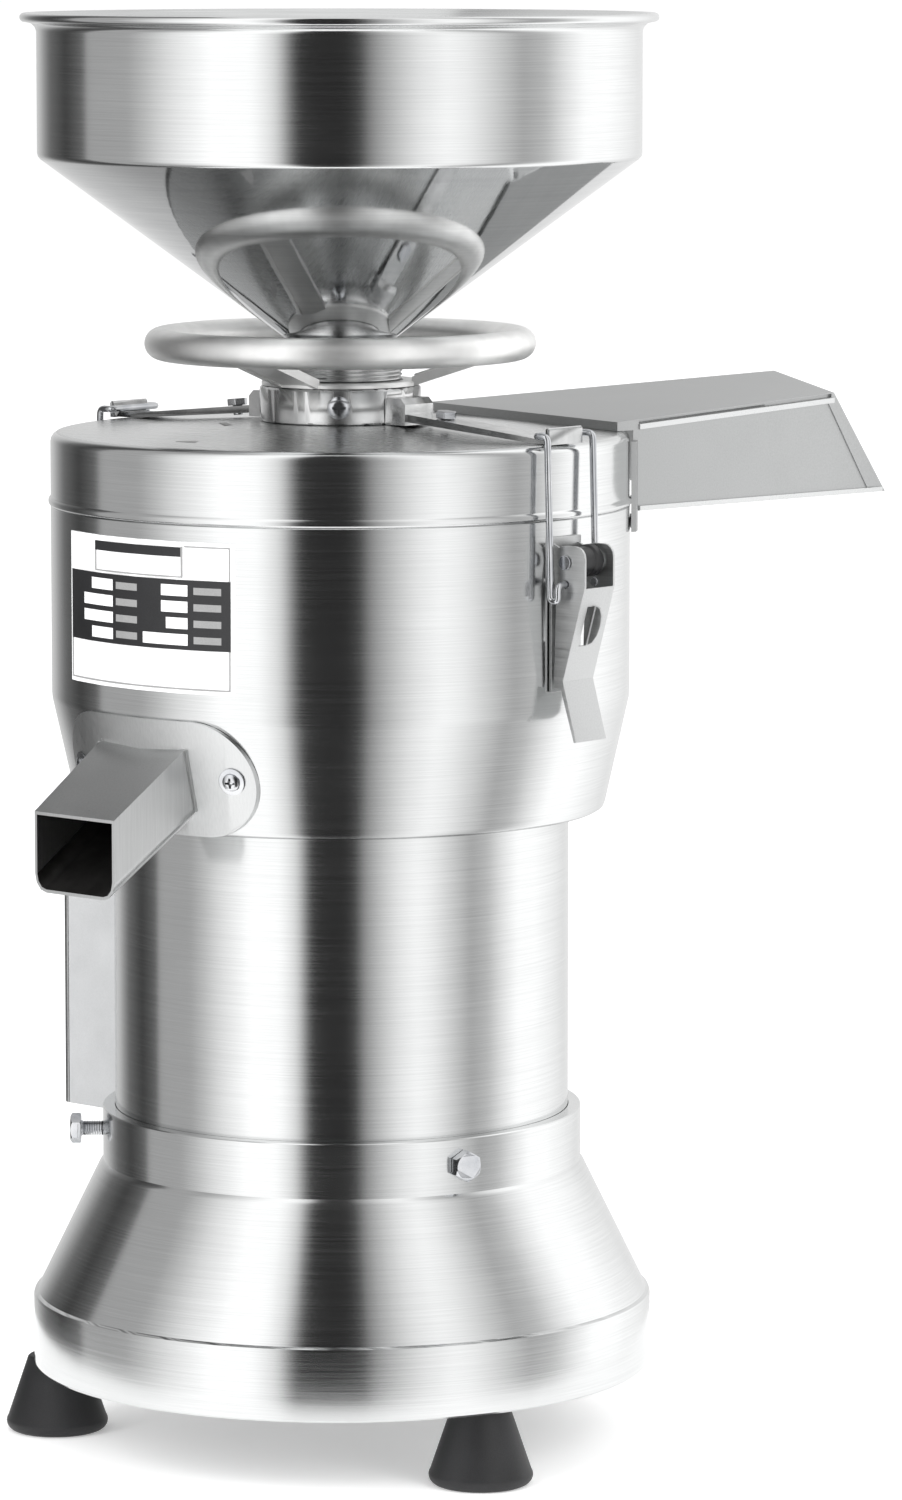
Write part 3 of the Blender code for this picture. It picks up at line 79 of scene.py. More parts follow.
# Stainless sheet: spun or rolled, then brushed along one way. The eye sees fine streaks along the
# brushing, soft blotches a hand wide, and highlights that spread across the streaks.
def sheetSteel(name, settings):
    tree, shader = newFinish(name, {"Metallic": 1.0, "Roughness": settings["roughness"]})
    place = addNode(tree, "TexCoord").outputs["Object"]
    fine = 1 / (settings["streakWidth"] * mm)
    long = 1 / (settings["streakLength"] * mm)
    scale = {"around": (long, long, fine), "across": (long, fine, fine), "down": (fine, fine, long)}
    stretch = addNode(tree, "Mapping", values={"Scale": scale[settings["brushed"]]},
                      links={"Vector": place})
    streaks = addNode(tree, "TexNoise", values={"Scale": 1.0, "Detail": 3.0, "Roughness": 0.6},
                      links={"Vector": stretch.outputs["Vector"]})
    blotch = addNode(tree, "TexNoise", values={"Scale": 1 / (45 * mm), "Detail": 2.0},
                     links={"Vector": place})
    mixed = addNode(tree, "Mix", {"data_type": "RGBA"}, {"Factor": 0.3},
                    {"A": streaks.outputs["Fac"], "B": blotch.outputs["Fac"]})
    tone = ramp(tree, mixed.outputs["Result"], [
        (0.3, linear(settings["dark"])), (0.7, linear(settings["light"]))])
    tree.links.new(tone.outputs["Color"], shader.inputs["Base Color"])
    rough = addNode(tree, "MapRange", values={
        "From Min": 0.3, "From Max": 0.7, "To Min": settings["roughness"] * 0.8,
        "To Max": settings["roughness"] * 1.25}, links={"Value": mixed.outputs["Result"]})
    tree.links.new(rough.outputs["Result"], shader.inputs["Roughness"])
    bump = addNode(tree, "Bump", values={"Strength": settings["bump"], "Distance": 0.02 * mm},
                   links={"Height": streaks.outputs["Fac"]})
    tree.links.new(bump.outputs["Normal"], shader.inputs["Normal"])


# Cast or forged metal: blasted or tumbled, so a fine even grain with soft low waves
def castMetal(name, settings):
    tree, shader = newFinish(name, {"Metallic": 1.0, "Roughness": settings["roughness"]})
    place = addNode(tree, "TexCoord").outputs["Object"]
    grain = addNode(tree, "TexNoise", values={"Scale": 1 / (settings["grain"] * mm), "Detail": 4.0},
                    links={"Vector": place})
    wave = addNode(tree, "TexNoise", values={"Scale": 1 / (14 * mm), "Detail": 2.0},
                   links={"Vector": place})
    tone = ramp(tree, wave.outputs["Fac"], [
        (0.35, linear(settings["dark"])), (0.65, linear(settings["light"]))])
    tree.links.new(tone.outputs["Color"], shader.inputs["Base Color"])
    rough = addNode(tree, "MapRange", values={
        "To Min": settings["roughness"] * 0.75, "To Max": settings["roughness"] * 1.2},
        links={"Value": grain.outputs["Fac"]})
    tree.links.new(rough.outputs["Result"], shader.inputs["Roughness"])
    bump = addNode(tree, "Bump", values={"Strength": settings["bump"], "Distance": 0.05 * mm},
                   links={"Height": grain.outputs["Fac"]})
    tree.links.new(bump.outputs["Normal"], shader.inputs["Normal"])


# Rubber, plastic, silicone and stone: dull, with the mould's or the grit's grain and a little dust
def mouldedFinish(name, settings):
    tree, shader = newFinish(name, {"Roughness": settings["roughness"], "IOR": settings["ior"]})
    place = addNode(tree, "TexCoord").outputs["Object"]
    grain = addNode(tree, "TexNoise", values={"Scale": 1 / (settings["grain"] * mm), "Detail": 5.0},
                    links={"Vector": place})
    dust = addNode(tree, "TexNoise", values={"Scale": 1 / (22 * mm), "Detail": 4.0},
                   links={"Vector": place})
    mixed = addNode(tree, "Mix", {"data_type": "RGBA"}, {"Factor": 0.5},
                    {"A": grain.outputs["Fac"], "B": dust.outputs["Fac"]})
    tone = ramp(tree, mixed.outputs["Result"], [
        (0.35, linear(settings["dark"])), (0.65, linear(settings["light"]))])
    tree.links.new(tone.outputs["Color"], shader.inputs["Base Color"])
    rough = addNode(tree, "MapRange", values={
        "To Min": settings["roughness"] * 0.85, "To Max": min(settings["roughness"] * 1.15, 1.0)},
        links={"Value": dust.outputs["Fac"]})
    tree.links.new(rough.outputs["Result"], shader.inputs["Roughness"])
    bump = addNode(tree, "Bump", values={"Strength": settings["bump"], "Distance": 0.1 * mm},
                   links={"Height": grain.outputs["Fac"]})
    tree.links.new(bump.outputs["Normal"], shader.inputs["Normal"])


# Streaks are drawn about twice as wide as real brushing, which would be too fine to show
sheetSteel("spunPolishedSteel", {
    "brushed": "around", "roughness": 0.15, "streakWidth": 0.6, "streakLength": 70, "bump": 0.04,
    "dark": "#cdcece", "light": "#dcdddd"})
sheetSteel("mirrorSteel", {
    "brushed": "around", "roughness": 0.06, "streakWidth": 1.0, "streakLength": 80, "bump": 0.02,
    "dark": "#cccdce", "light": "#dcdddd"})
sheetSteel("satinSheetSteel", {
    "brushed": "across", "roughness": 0.36, "streakWidth": 0.8, "streakLength": 40, "bump": 0.15,
    "dark": "#b9baba", "light": "#cfd0d0"})
sheetSteel("dullSheetSteel", {
    "brushed": "across", "roughness": 0.42, "streakWidth": 0.8, "streakLength": 40, "bump": 0.15,
    "dark": "#9fa0a0", "light": "#b2b3b3"})
# A lighter copy of the sheet for the chute's hems: painted highlight along the folded edges
sheetSteel("hemPaintedHighlight", {
    "brushed": "across", "roughness": 0.3, "streakWidth": 0.8, "streakLength": 40, "bump": 0.08,
    "dark": "#c3c4c4", "light": "#d0d1d1"})
sheetSteel("lidTopSteel", {
    "brushed": "across", "roughness": 0.26, "streakWidth": 0.9, "streakLength": 50, "bump": 0.08,
    "dark": "#c3c4c4", "light": "#d3d4d4"})
sheetSteel("castSpoutSteel", {
    "brushed": "down", "roughness": 0.34, "streakWidth": 0.9, "streakLength": 30, "bump": 0.06,
    "dark": "#cccdcd", "light": "#dadbdb"})
# The duct's inside is coloured near-black: painted shade for the shadow deep in the duct
castMetal("ductPaintedShade", {
    "roughness": 0.55, "grain": 0.8, "bump": 0.3, "dark": "#3c3b3a", "light": "#4c4b4a"})
castMetal("tumbledAluminium", {
    "roughness": 0.42, "grain": 0.7, "bump": 0.12, "dark": "#ededec", "light": "#f7f7f6"})
castMetal("zincPlatedSteel", {
    "roughness": 0.2, "grain": 0.6, "bump": 0.12, "dark": "#b9bbbf", "light": "#d3d4d6"})
castMetal("machinedAluminium", {
    "roughness": 0.24, "grain": 0.9, "bump": 0.1, "dark": "#bfc0c0", "light": "#dadada"})
castMetal("lacqueredCore", {
    "roughness": 0.5, "grain": 0.8, "bump": 0.4, "dark": "#57524c", "light": "#6d675f"})
mouldedFinish("blackRubber", {
    "roughness": 0.55, "ior": 1.52, "grain": 0.6, "bump": 0.3, "dark": "#121213", "light": "#222224"})
mouldedFinish("blackNylon", {
    "roughness": 0.42, "ior": 1.5, "grain": 0.5, "bump": 0.25, "dark": "#151516", "light": "#222223"})
mouldedFinish("whiteSilicone", {
    "roughness": 0.5, "ior": 1.42, "grain": 0.8, "bump": 0.1, "dark": "#d8d5cc", "light": "#e6e4dc"})
mouldedFinish("enamelWhite", {
    "roughness": 0.35, "ior": 1.5, "grain": 0.9, "bump": 0.03, "dark": "#e9e9ea", "light": "#f5f5f6"})
mouldedFinish("paleCoat", {
    "roughness": 0.4, "ior": 1.5, "grain": 0.6, "bump": 0.15, "dark": "#aeafb0", "light": "#babbbc"})
mouldedFinish("printedBlack", {
    "roughness": 0.45, "ior": 1.5, "grain": 0.7, "bump": 0.05, "dark": "#18181a", "light": "#242426"})
mouldedFinish("printedGrey", {
    "roughness": 0.45, "ior": 1.5, "grain": 0.7, "bump": 0.05, "dark": "#868686", "light": "#949494"})
mouldedFinish("corundumStone", {
    "roughness": 0.95, "ior": 1.76, "grain": 0.9, "bump": 1.0, "dark": "#8f877d", "light": "#b7aea2"})
print("finishes made:", len(finishes))


def deselectAll():
    if bpy.context.object and bpy.context.object.mode != "OBJECT":
        bpy.ops.object.mode_set(mode="OBJECT")
    bpy.ops.object.select_all(action="DESELECT")


def pick(piece):
    deselectAll()
    piece.select_set(True)
    bpy.context.view_layer.objects.active = piece


def applyAll(piece):
    pick(piece)
    for modifier in list(piece.modifiers):
        bpy.ops.object.modifier_apply(modifier=modifier.name)


def setPlace(piece):
    pick(piece)
    bpy.ops.object.transform_apply(location=True, rotation=True, scale=True)


def spin(piece, azimuth, radius=0.0, height=0.0):
    # -Y of the piece is turned outward to the azimuth, then it is set at its place on the machine
    turn = radians(azimuth)
    piece.rotation_euler = (0, 0, turn)
    piece.location = (radius * sin(turn) * mm, -radius * cos(turn) * mm + axisY, height * mm)
    setPlace(piece)
    return piece


def soften(piece, width=0.4, segments=2, angle=32):
    pick(piece)
    bevel = piece.modifiers.new("edges", "BEVEL")
    bevel.width = width * mm
    bevel.segments = segments
    bevel.limit_method = "ANGLE"
    bevel.angle_limit = radians(angle)
    bevel.use_clamp_overlap = True
    bpy.ops.object.modifier_apply(modifier=bevel.name)
    bpy.ops.object.shade_smooth_by_angle(angle=radians(angle + 6))
    flats = piece.modifiers.new("flats", "WEIGHTED_NORMAL")
    flats.keep_sharp = True
    flats.weight = 80
    bpy.ops.object.modifier_apply(modifier=flats.name)
    return piece


def giveFinish(piece, name):
    piece.data.materials.clear()
    piece.data.materials.append(finishes[name])


def settle(piece, name, finish, body, nodes=()):
    piece.name = name
    piece.data.name = name
    giveFinish(piece, finish)
    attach(piece, body)
    if nodes:
        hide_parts(*nodes)
    return piece


# A turned piece: a circle extruded and scaled from ring to ring, as (radius, height) in mm
def turned(rings, segments=120, closed=True, centre=(0.0, axisY)):
    deselectAll()
    radius, height = rings[0]
    bpy.ops.mesh.primitive_circle_add(vertices=segments, radius=radius * mm,
                                      location=(centre[0], centre[1], height * mm))
    piece = bpy.context.object
    bpy.ops.object.mode_set(mode="EDIT")
    bpy.ops.mesh.select_mode(type="EDGE")
    bpy.ops.mesh.select_all(action="SELECT")
    for before, after in zip(rings, rings[1:]):
        bpy.ops.mesh.extrude_edges_move(TRANSFORM_OT_translate={
            "value": (0, 0, (after[1] - before[1]) * mm)})
        share = after[0] / before[0]
        bpy.ops.transform.resize(value=(share, share, 1),
                                 center_override=(centre[0], centre[1], after[1] * mm))
    bpy.ops.mesh.select_all(action="DESELECT")
    bpy.ops.mesh.select_non_manifold(extend=False, use_wire=False, use_multi_face=False,
                                     use_non_contiguous=False, use_verts=False)
    if closed:
        bpy.ops.mesh.bridge_edge_loops()
    else:
        bpy.ops.mesh.fill_holes(sides=0)
    bpy.ops.mesh.select_all(action="SELECT")
    bpy.ops.mesh.normals_make_consistent(inside=False)
    bpy.ops.object.mode_set(mode="OBJECT")
    setPlace(piece)
    return piece


def slab(low, high):
    # A block between two corners, in mm
    deselectAll()
    middle = [(a + b) / 2 * mm for a, b in zip(low, high)]
    bpy.ops.mesh.primitive_cube_add(size=1, location=middle)
    piece = bpy.context.object
    piece.scale = [(b - a) * mm for a, b in zip(low, high)]
    setPlace(piece)
    return piece


def rod(radius, low, high, sides=32):
    # A bar along Z, in mm
    deselectAll()
    bpy.ops.mesh.primitive_cylinder_add(vertices=sides, radius=radius * mm, depth=(high - low) * mm,
                                        location=(0, 0, (low + high) / 2 * mm))
    piece = bpy.context.object
    setPlace(piece)
    return piece


def combine(piece, tools, operation):
    for tool in tools:
        change = piece.modifiers.new(operation.lower(), "BOOLEAN")
        change.operation = operation
        change.solver = "EXACT"
        change.object = tool
        applyAll(piece)
        bpy.data.objects.remove(tool, do_unlink=True)
    return piece


def bar(start, end, across, up):
    # A straight strip from point to point, as wide and deep as its two cross vectors, in mm
    deselectAll()
    bpy.ops.mesh.primitive_cube_add(size=1)
    piece = bpy.context.object
    start, end, across, up = (Vector(v) * mm for v in (start, end, across, up))
    for vert in piece.data.vertices:
        x, y, z = vert.co
        vert.co = start + (end - start) * (y + 0.5) + across * x + up * z
    bpy.ops.object.mode_set(mode="EDIT")
    bpy.ops.mesh.select_all(action="SELECT")
    bpy.ops.mesh.normals_make_consistent(inside=False)
    bpy.ops.object.mode_set(mode="OBJECT")
    return piece


def joined(pieces):
    deselectAll()
    for piece in pieces:
        piece.select_set(True)
    bpy.context.view_layer.objects.active = pieces[0]
    bpy.ops.object.join()
    return pieces[0]


# A copy of a flat or bent CAD piece with merged corners, whose edges can then be softened
def copied(node):
    piece = bpy.data.objects.new(node + "Copy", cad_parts[node].data.copy())
    bpy.context.scene.collection.objects.link(piece)
    pick(piece)
    bpy.ops.object.mode_set(mode="EDIT")
    bpy.ops.mesh.select_all(action="SELECT")
    bpy.ops.mesh.remove_doubles(threshold=0.01 * mm)
    bpy.ops.mesh.dissolve_limited(angle_limit=radians(0.5))
    bpy.ops.object.mode_set(mode="OBJECT")
    return piece


# ---- camera and studio
# The photograph was taken from 42 degrees right of the spout and 7 degrees down
camera = {"azimuth": 42.0, "distance": 3.463, "beside": 0.057, "height": 0.7856, "down": 7.01,
          "lens": 161.5}


def placeCamera():
    turn = radians(camera["azimuth"])
    data = bpy.data.cameras.new("photoCamera")
    data.lens = camera["lens"]
    data.sensor_width = 36.0
    data.clip_end = 50.0
    made = bpy.data.objects.new("photoCamera", data)
    bpy.context.scene.collection.objects.link(made)
    made.location = (camera["beside"] * cos(turn) + camera["distance"] * sin(turn),
                     camera["beside"] * sin(turn) - camera["distance"] * cos(turn) + axisY,
                     camera["height"])
    made.rotation_euler = (radians(90 - camera["down"]), 0, turn)
    bpy.context.scene.camera = made


# The polished steel sees a ring of studio cards: (degrees clockwise from the camera, grey level)
cardRing = {"radius": 0.37, "low": 0.002, "high": 1.6, "glow": 1.55, "levels": [
    (-69, 154), (-61, 182), (-53, 214), (-44, 238), (-38, 255), (-25, 252), (-18, 214), (-14, 120),
    (-12, 40), (3, 38), (7, 60), (11, 140), (18, 190), (25, 224), (33, 242), (40, 232), (50, 196),
    (59, 158), (68, 178), (77, 222), (87, 252), (100, 250), (116, 232), (134, 208), (152, 200),
    (205, 196), (226, 168), (241, 98), (256, 56), (268, 90), (282, 128)]}


def makeCardRing():
    c = cardRing
    deselectAll()
    bpy.ops.mesh.primitive_cylinder_add(vertices=96, radius=c["radius"], depth=c["high"] - c["low"],
                                        end_fill_type="NOTHING",
                                        location=(0, axisY, (c["high"] + c["low"]) / 2))
    ring = bpy.context.object
    ring.name = "cardRing"
    ring.rotation_euler = (0, 0, radians(camera["azimuth"]))
    tree, shader = newFinish("cardRing", {"Base Color": (0, 0, 0, 1), "Roughness": 1.0,
                                          "Specular IOR Level": 0.0,
                                          "Emission Strength": c["glow"]})
    place = addNode(tree, "TexCoord").outputs["Object"]
    turn = addNode(tree, "TexGradient", {"gradient_type": "RADIAL"}, links={"Vector": place})
    levels = ramp(tree, turn.outputs["Fac"], [
        ((angle + 90) / 360, linear("#" + "%02x" % level * 3)) for angle, level in c["levels"]])
    tree.links.new(levels.outputs["Color"], shader.inputs["Emission Color"])
    giveFinish(ring, "cardRing")
    ring.visible_camera = False
    ring.visible_shadow = False
    ring.visible_diffuse = False


def makeStudio():
    deselectAll()
    bpy.ops.mesh.primitive_plane_add(size=14, location=(0, 0, 0))
    floor = bpy.context.object
    floor.name = "studioFloor"
    newFinish("studioFloor", {"Base Color": linear("#f6f6f6"), "Roughness": 0.9,
                              "Specular IOR Level": 0.2, "Emission Color": linear("#ffffff"),
                              "Emission Strength": 0.3})
    giveFinish(floor, "studioFloor")
    world = bpy.data.worlds.new("studioSky")
    bpy.context.scene.world = world
    world.use_nodes = True
    world.node_tree.nodes["Background"].inputs["Color"].default_value = linear("#fdfdfd")
    world.node_tree.nodes["Background"].inputs["Strength"].default_value = 1.05
    bpy.context.scene.view_settings.view_transform = "Standard"
    makeCardRing()
    for side, azimuth, power in (("Left", -48.0, 30.0), ("Right", 40.0, 26.0)):
        turn = radians(camera["azimuth"] + azimuth)
        light = bpy.data.lights.new("softbox" + side, "AREA")
        light.shape = "RECTANGLE"
        light.size = 0.9
        light.size_y = 2.2
        light.energy = power
        made = bpy.data.objects.new("softbox" + side, light)
        bpy.context.scene.collection.objects.link(made)
        made.visible_glossy = False
        made.location = (2.4 * sin(turn), -2.4 * cos(turn) + axisY, 1.3)
        made.rotation_euler = (Vector((0, axisY, 0.4)) - made.location).to_track_quat(
            "-Z", "Y").to_euler()


placeCamera()
makeStudio()
print("camera and studio placed")

# ---- stand and motor
stand = {"band": 161.0, "bandLow": 40.0, "bandTop": 76.5, "coneTop": 126.0, "collar": 124.5,
         "collarLow": 145.5, "collarTop": 175.0, "bore": 118.3, "sheet": 2.2, "flange": 129.5,
         "shelf": 108.0, "shelfLow": 143.0, "shelfTop": 147.5,
         "boltAzimuths": (72.5, 192.5, 312.5), "boltHeight": 161.25, "boltBore": 4.3}
# Feet are plain moulded rubber cones with a rounded sole; the front one stands a little further in
foot = {"azimuths": (73.0, 190.0, 310.0), "circles": (140.0, 150.0, 150.0), "top": 15.2,
        "sole": 26.6, "edge": 5.0, "height": 39.7, "bore": 4.3, "boreLow": 14.0}


def boltHole(azimuth):
    hole = rod(stand["boltBore"], 110, 130)
    hole.rotation_euler = (radians(90), 0, 0)
    setPlace(hole)
    return spin(hole, azimuth, 0, stand["boltHeight"])


def makeStand():
    s = stand
    t = s["sheet"]
    piece = turned([
        (s["collar"] - 0.4, s["collarTop"]), (s["collar"], s["collarTop"] - 0.5),
        (s["collar"], s["collarLow"] + 1.2), (s["coneTop"] - 0.6, s["collarLow"]),
        (s["coneTop"] + 0.4, s["collarLow"] - 1.4), (s["band"] - 2.2, s["bandTop"] + 1.6),
        (s["band"] - 0.5, s["bandTop"] + 0.6), (s["band"], s["bandTop"] - 0.8),
        (s["band"], s["bandLow"] + 1.0), (s["band"] - 0.8, s["bandLow"]),
        (s["flange"], s["bandLow"]), (s["flange"], s["bandLow"] + t), (s["band"] - t, s["bandLow"] + t),
        (s["band"] - t, s["bandTop"] - 2.4), (s["band"] - 2 * t, s["bandTop"]),
        (s["coneTop"] - t, s["collarLow"] - 2.5), (s["shelf"], s["shelfLow"]),
        (s["shelf"], s["shelfTop"]), (s["bore"], s["shelfTop"]), (s["bore"], s["collarTop"])], 144)
    for azimuth, circle in zip(foot["azimuths"], foot["circles"]):
        combine(piece, [spin(rod(s["boltBore"], 38, 44), azimuth, circle)], "DIFFERENCE")
    for azimuth in s["boltAzimuths"]:
        combine(piece, [boltHole(azimuth)], "DIFFERENCE")
    soften(piece, 0.25)
    settle(piece, "standShell", "spunPolishedSteel", "stand", ["base_shell"])


# The ring above the bolt holes keeps their long flat faces off the part of the can that shows
housing = {"radius": 118.0, "inside": 116.5, "low": 147.8, "ring": 171.0, "top": 330.7}


def makeHousing():
    h = housing
    piece = turned([(h["radius"], h["top"]), (h["radius"], h["ring"]), (h["radius"], h["low"]),
                    (h["inside"], h["low"]), (h["inside"], h["ring"]), (h["inside"], h["top"])], 144)
    for azimuth in stand["boltAzimuths"]:
        combine(piece, [boltHole(azimuth)], "DIFFERENCE")
    soften(piece, 0.2)
    settle(piece, "motorCan", "spunPolishedSteel", "stand", ["motor_housing"])


def makeFeet():
    f = foot
    sole = [(f["sole"] - f["edge"] * (1 - cos(radians(a))), f["edge"] * (1 - sin(radians(a))))
            for a in range(0, 91, 15)]
    for number, (azimuth, circle) in enumerate(zip(f["azimuths"], f["circles"]), 1):
        piece = turned([
            (f["bore"], f["boreLow"]), (f["bore"], f["height"]), (f["top"] - 1.0, f["height"]),
            (f["top"] - 0.1, f["height"] - 0.8), (f["sole"] - 0.9, f["edge"] + 2.6),
            (f["sole"] - 0.2, f["edge"] + 1.2)] + sole, 64, closed=False, centre=(0, 0))
        spin(piece, azimuth, circle)
        soften(piece, 0.3)
        settle(piece, "rubberFoot%d" % number, "blackRubber", "stand", ["foot_%d" % number])


makeStand()
makeHousing()
makeFeet()
print("stand, motor can and feet made")

# ---- bowl, lid and hopper
bowl = {"wall": 149.4, "foot": 136.5, "low": 331.0, "taperTop": 390.0, "shoulder": 488.2,
        "rim": 517.0, "sheet": 2.0, "rimInside": 146.7, "floor": 334.0,
        "screwAzimuths": (-21, 21), "boltAzimuths": (30, 150, 270)}


def makeBowl():
    b = bowl
    w, t = b["wall"], b["sheet"]
    inner = b["rimInside"]
    piece = turned([
        (inner, b["rim"]), (inner, b["shoulder"]), (w - 0.4, b["shoulder"]),
        (w, b["shoulder"] - 0.5), (w, b["taperTop"] + 1.5), (w - 0.3, b["taperTop"] - 1.5),
        (b["foot"] + 0.5, b["low"] + 3.4), (b["foot"] - 0.4, b["low"] + 1.2),
        (b["foot"] - 2.5, b["low"]), (17.0, b["low"]), (17.0, 338.0), (22.0, 338.0),
        (22.0, 354.0), (27.7, 354.0), (29.7, b["floor"]), (b["foot"] - t - 2.5, b["floor"]),
        (b["foot"] - t, 336.5), (w - t, b["taperTop"]), (w - t, b["shoulder"] - t),
        (inner - t, b["shoulder"] - t), (inner - t, b["rim"])], 144)
    for azimuth in b["boltAzimuths"]:
        combine(piece, [spin(rod(4.3, 325, 340), azimuth, 90)], "DIFFERENCE")
    duct = slab((-28.2, -150, 337.5), (28.2, -110, 376.5))
    duct.location = (0, axisY, 0)
    setPlace(duct)
    notch = spin(slab((-80, -150.9, 486), (80, -100, 525)), 165)
    combine(piece, [duct, notch], "DIFFERENCE")
    for azimuth in b["screwAzimuths"]:
        hole = rod(2.6, -12, 12)
        hole.rotation_euler = (radians(90), 0, 0)
        setPlace(hole)
        combine(piece, [spin(hole, azimuth, 143, 360.5)], "DIFFERENCE")
    soften(piece, 0.2)
    settle(piece, "grindingBowl", "spunPolishedSteel", "stand", ["bowl"])


lid = {"wall": 149.4, "low": 488.5, "top": 526.0, "boss": 46.0, "bossTop": 531.0, "bore": 33.0,
       "swell": 110.0}


def makeLid():
    w, low, top = lid["wall"], lid["low"], lid["top"]
    piece = turned([
        (lid["bore"], lid["bossTop"]), (lid["boss"] - 1.0, lid["bossTop"]),
        (lid["boss"] + 1.5, lid["bossTop"] - 0.2), (lid["swell"], top + 0.4),
        (w - 5.0, top), (w - 3.1, top - 0.4), (w - 1.5, top - 1.5), (w - 0.4, top - 3.1),
        (w, top - 5.0), (w, low + 4.6), (w + 0.5, low + 3.8), (w + 1.1, low + 3.0),
        (w + 1.2, low + 2.0), (w + 1.1, low + 0.9), (w + 0.3, low), (147.0, low), (147.0, 520.0),
        (144.0, 523.0), (lid["bore"], 523.0)], 144)
    notch = spin(slab((-82, -159, 480), (82, -100, 517)), 165)
    combine(piece, [notch], "DIFFERENCE")
    soften(piece, 0.2)
    settle(piece, "bowlLid", "spunPolishedSteel", "stand", ["lid"])
    # The flat top has a duller, straight-brushed finish than the spun skirt
    piece.data.materials.append(finishes["lidTopSteel"])
    for face in piece.data.polygons:
        if face.normal.z > 0.9 and face.center.z > 520 * mm:
            face.material_index = 1


hopper = {"wall": 155.1, "rim": 163.6, "neck": 26.5, "low": 545.0, "foot": 572.0, "shoulder": 666.0,
          "lip": 734.0, "top": 740.0, "sheet": 1.2}


def makeHopper():
    h = hopper
    w, t = h["wall"], h["sheet"]
    # A rolled wire edge closes the flare
    roll = [(h["rim"] - 2.3 + 2.3 * cos(radians(a)), h["top"] - 2.3 + 2.3 * sin(radians(a)))
            for a in (110, 80, 50, 20, -10, -40, -70, -100)]
    piece = turned(roll + [
        (w + 2.6, h["lip"] + 0.6), (w + 0.8, h["lip"] - 1.2), (w, h["lip"] - 3.4),
        (w, h["shoulder"] + 2.6), (w - 0.4, h["shoulder"] + 1.0), (w - 1.8, h["shoulder"] - 0.6),
        (h["neck"] + 1.2, h["foot"] + 0.9), (h["neck"], h["foot"] - 0.8), (h["neck"], h["low"]),
        (h["neck"] - t, h["low"]), (h["neck"] - t, h["foot"] - 0.2),
        (h["neck"] + 0.2, h["foot"] + 1.6), (w - t - 2.2, h["shoulder"] + 0.2),
        (w - t, h["shoulder"] + 3.4), (w - t, h["lip"] - 2.8), (w - t + 0.8, h["lip"]),
        (w + 2.2, h["lip"] + 2.4)], 160)
    soften(piece, 0.15, angle=40)
    settle(piece, "beanHopper", "spunPolishedSteel", "hopper", ["hopper"])
    # The cone is buffed to a mirror
    piece.data.materials.append(finishes["mirrorSteel"])
    for face in piece.data.polygons:
        if face.center.z < (h["shoulder"] - 0.5) * mm:
            face.material_index = 1


makeBowl()
makeLid()
makeHopper()
print("bowl, lid and hopper made")

# ---- feed tube, yoke and handwheel
tube = {"radius": 32.0, "bore": 27.0, "low": 470.8, "top": 572.0, "threadLow": 528.0, "pitch": 2.0,
        "depth": 0.9}


def makeTube():
    u = tube
    rings = [(u["bore"], u["top"]), (u["radius"] - 1.0, u["top"])]
    z = u["top"] - 1.0
    while z > u["threadLow"]:
        rings += [(u["radius"], z), (u["radius"] - u["depth"], z - u["pitch"] / 2)]
        z -= u["pitch"]
    rings += [(u["radius"], z), (u["radius"], u["low"]), (u["bore"], u["low"])]
    piece = turned(rings, 96)
    pick(piece)
    bpy.ops.object.shade_smooth_by_angle(angle=radians(30))
    settle(piece, "threadedFeedTube", "machinedAluminium", "feed", ["feed_tube"])


wheel = {"ring": 92.8, "section": 8.0, "height": 571.0, "sleeve": 36.7, "bore": 32.4, "hub": 40.6,
         "hubLow": 549.8, "hubTop": 552.2, "spokes": (9.0, 129.0, 249.0), "spokeWidth": 25.0}


def makeSpoke():
    # One flat cast spoke with raised edges, from the hub up to the ring
    start, end = 37.6, 89.8
    low, high = 551.9, 569.0
    half = wheel["spokeWidth"] / 2
    piece = slab((-half, -end, 0), (half, -start, 3))
    bpy.ops.object.mode_set(mode="EDIT")
    for cut in (-9.3, 9.3):
        bpy.ops.mesh.select_all(action="SELECT")
        bpy.ops.mesh.bisect(plane_co=(cut * mm, 0, 0), plane_no=(1, 0, 0))
    bpy.ops.mesh.select_all(action="DESELECT")
    bpy.ops.object.mode_set(mode="OBJECT")
    for face in piece.data.polygons:
        face.select = abs(face.normal.z) > 0.9 and abs(face.center.x) > 9.5 * mm
    bpy.ops.object.mode_set(mode="EDIT")
    bpy.ops.mesh.select_mode(type="FACE")
    bpy.ops.mesh.extrude_region_shrink_fatten(TRANSFORM_OT_shrink_fatten={"value": 1.0 * mm})
    bpy.ops.object.mode_set(mode="OBJECT")
    for vert in piece.data.vertices:
        share = (-vert.co.y / mm - start) / (end - start)
        vert.co.z += (low - 1.5 + (high - low) * share) * mm
    return piece


def makeWheel():
    deselectAll()
    bpy.ops.mesh.primitive_torus_add(major_segments=160, minor_segments=32,
                                     major_radius=wheel["ring"] * mm,
                                     minor_radius=wheel["section"] * mm,
                                     location=(0, axisY, wheel["height"] * mm))
    ring = bpy.context.object
    setPlace(ring)
    hub = turned([
        (wheel["bore"], wheel["hubTop"]), (wheel["hub"] - 0.8, wheel["hubTop"]),
        (wheel["hub"], wheel["hubTop"] - 0.8), (wheel["hub"], wheel["hubLow"]),
        (wheel["sleeve"], wheel["hubLow"]), (wheel["sleeve"], 533.3), (wheel["bore"], 533.3)], 96)
    spokes = [spin(makeSpoke(), azimuth) for azimuth in wheel["spokes"]]
    piece = combine(ring, [hub] + spokes, "UNION")
    soften(piece, 0.7, 3)
    settle(piece, "castHandwheel", "tumbledAluminium", "handwheel", ["handwheel"])


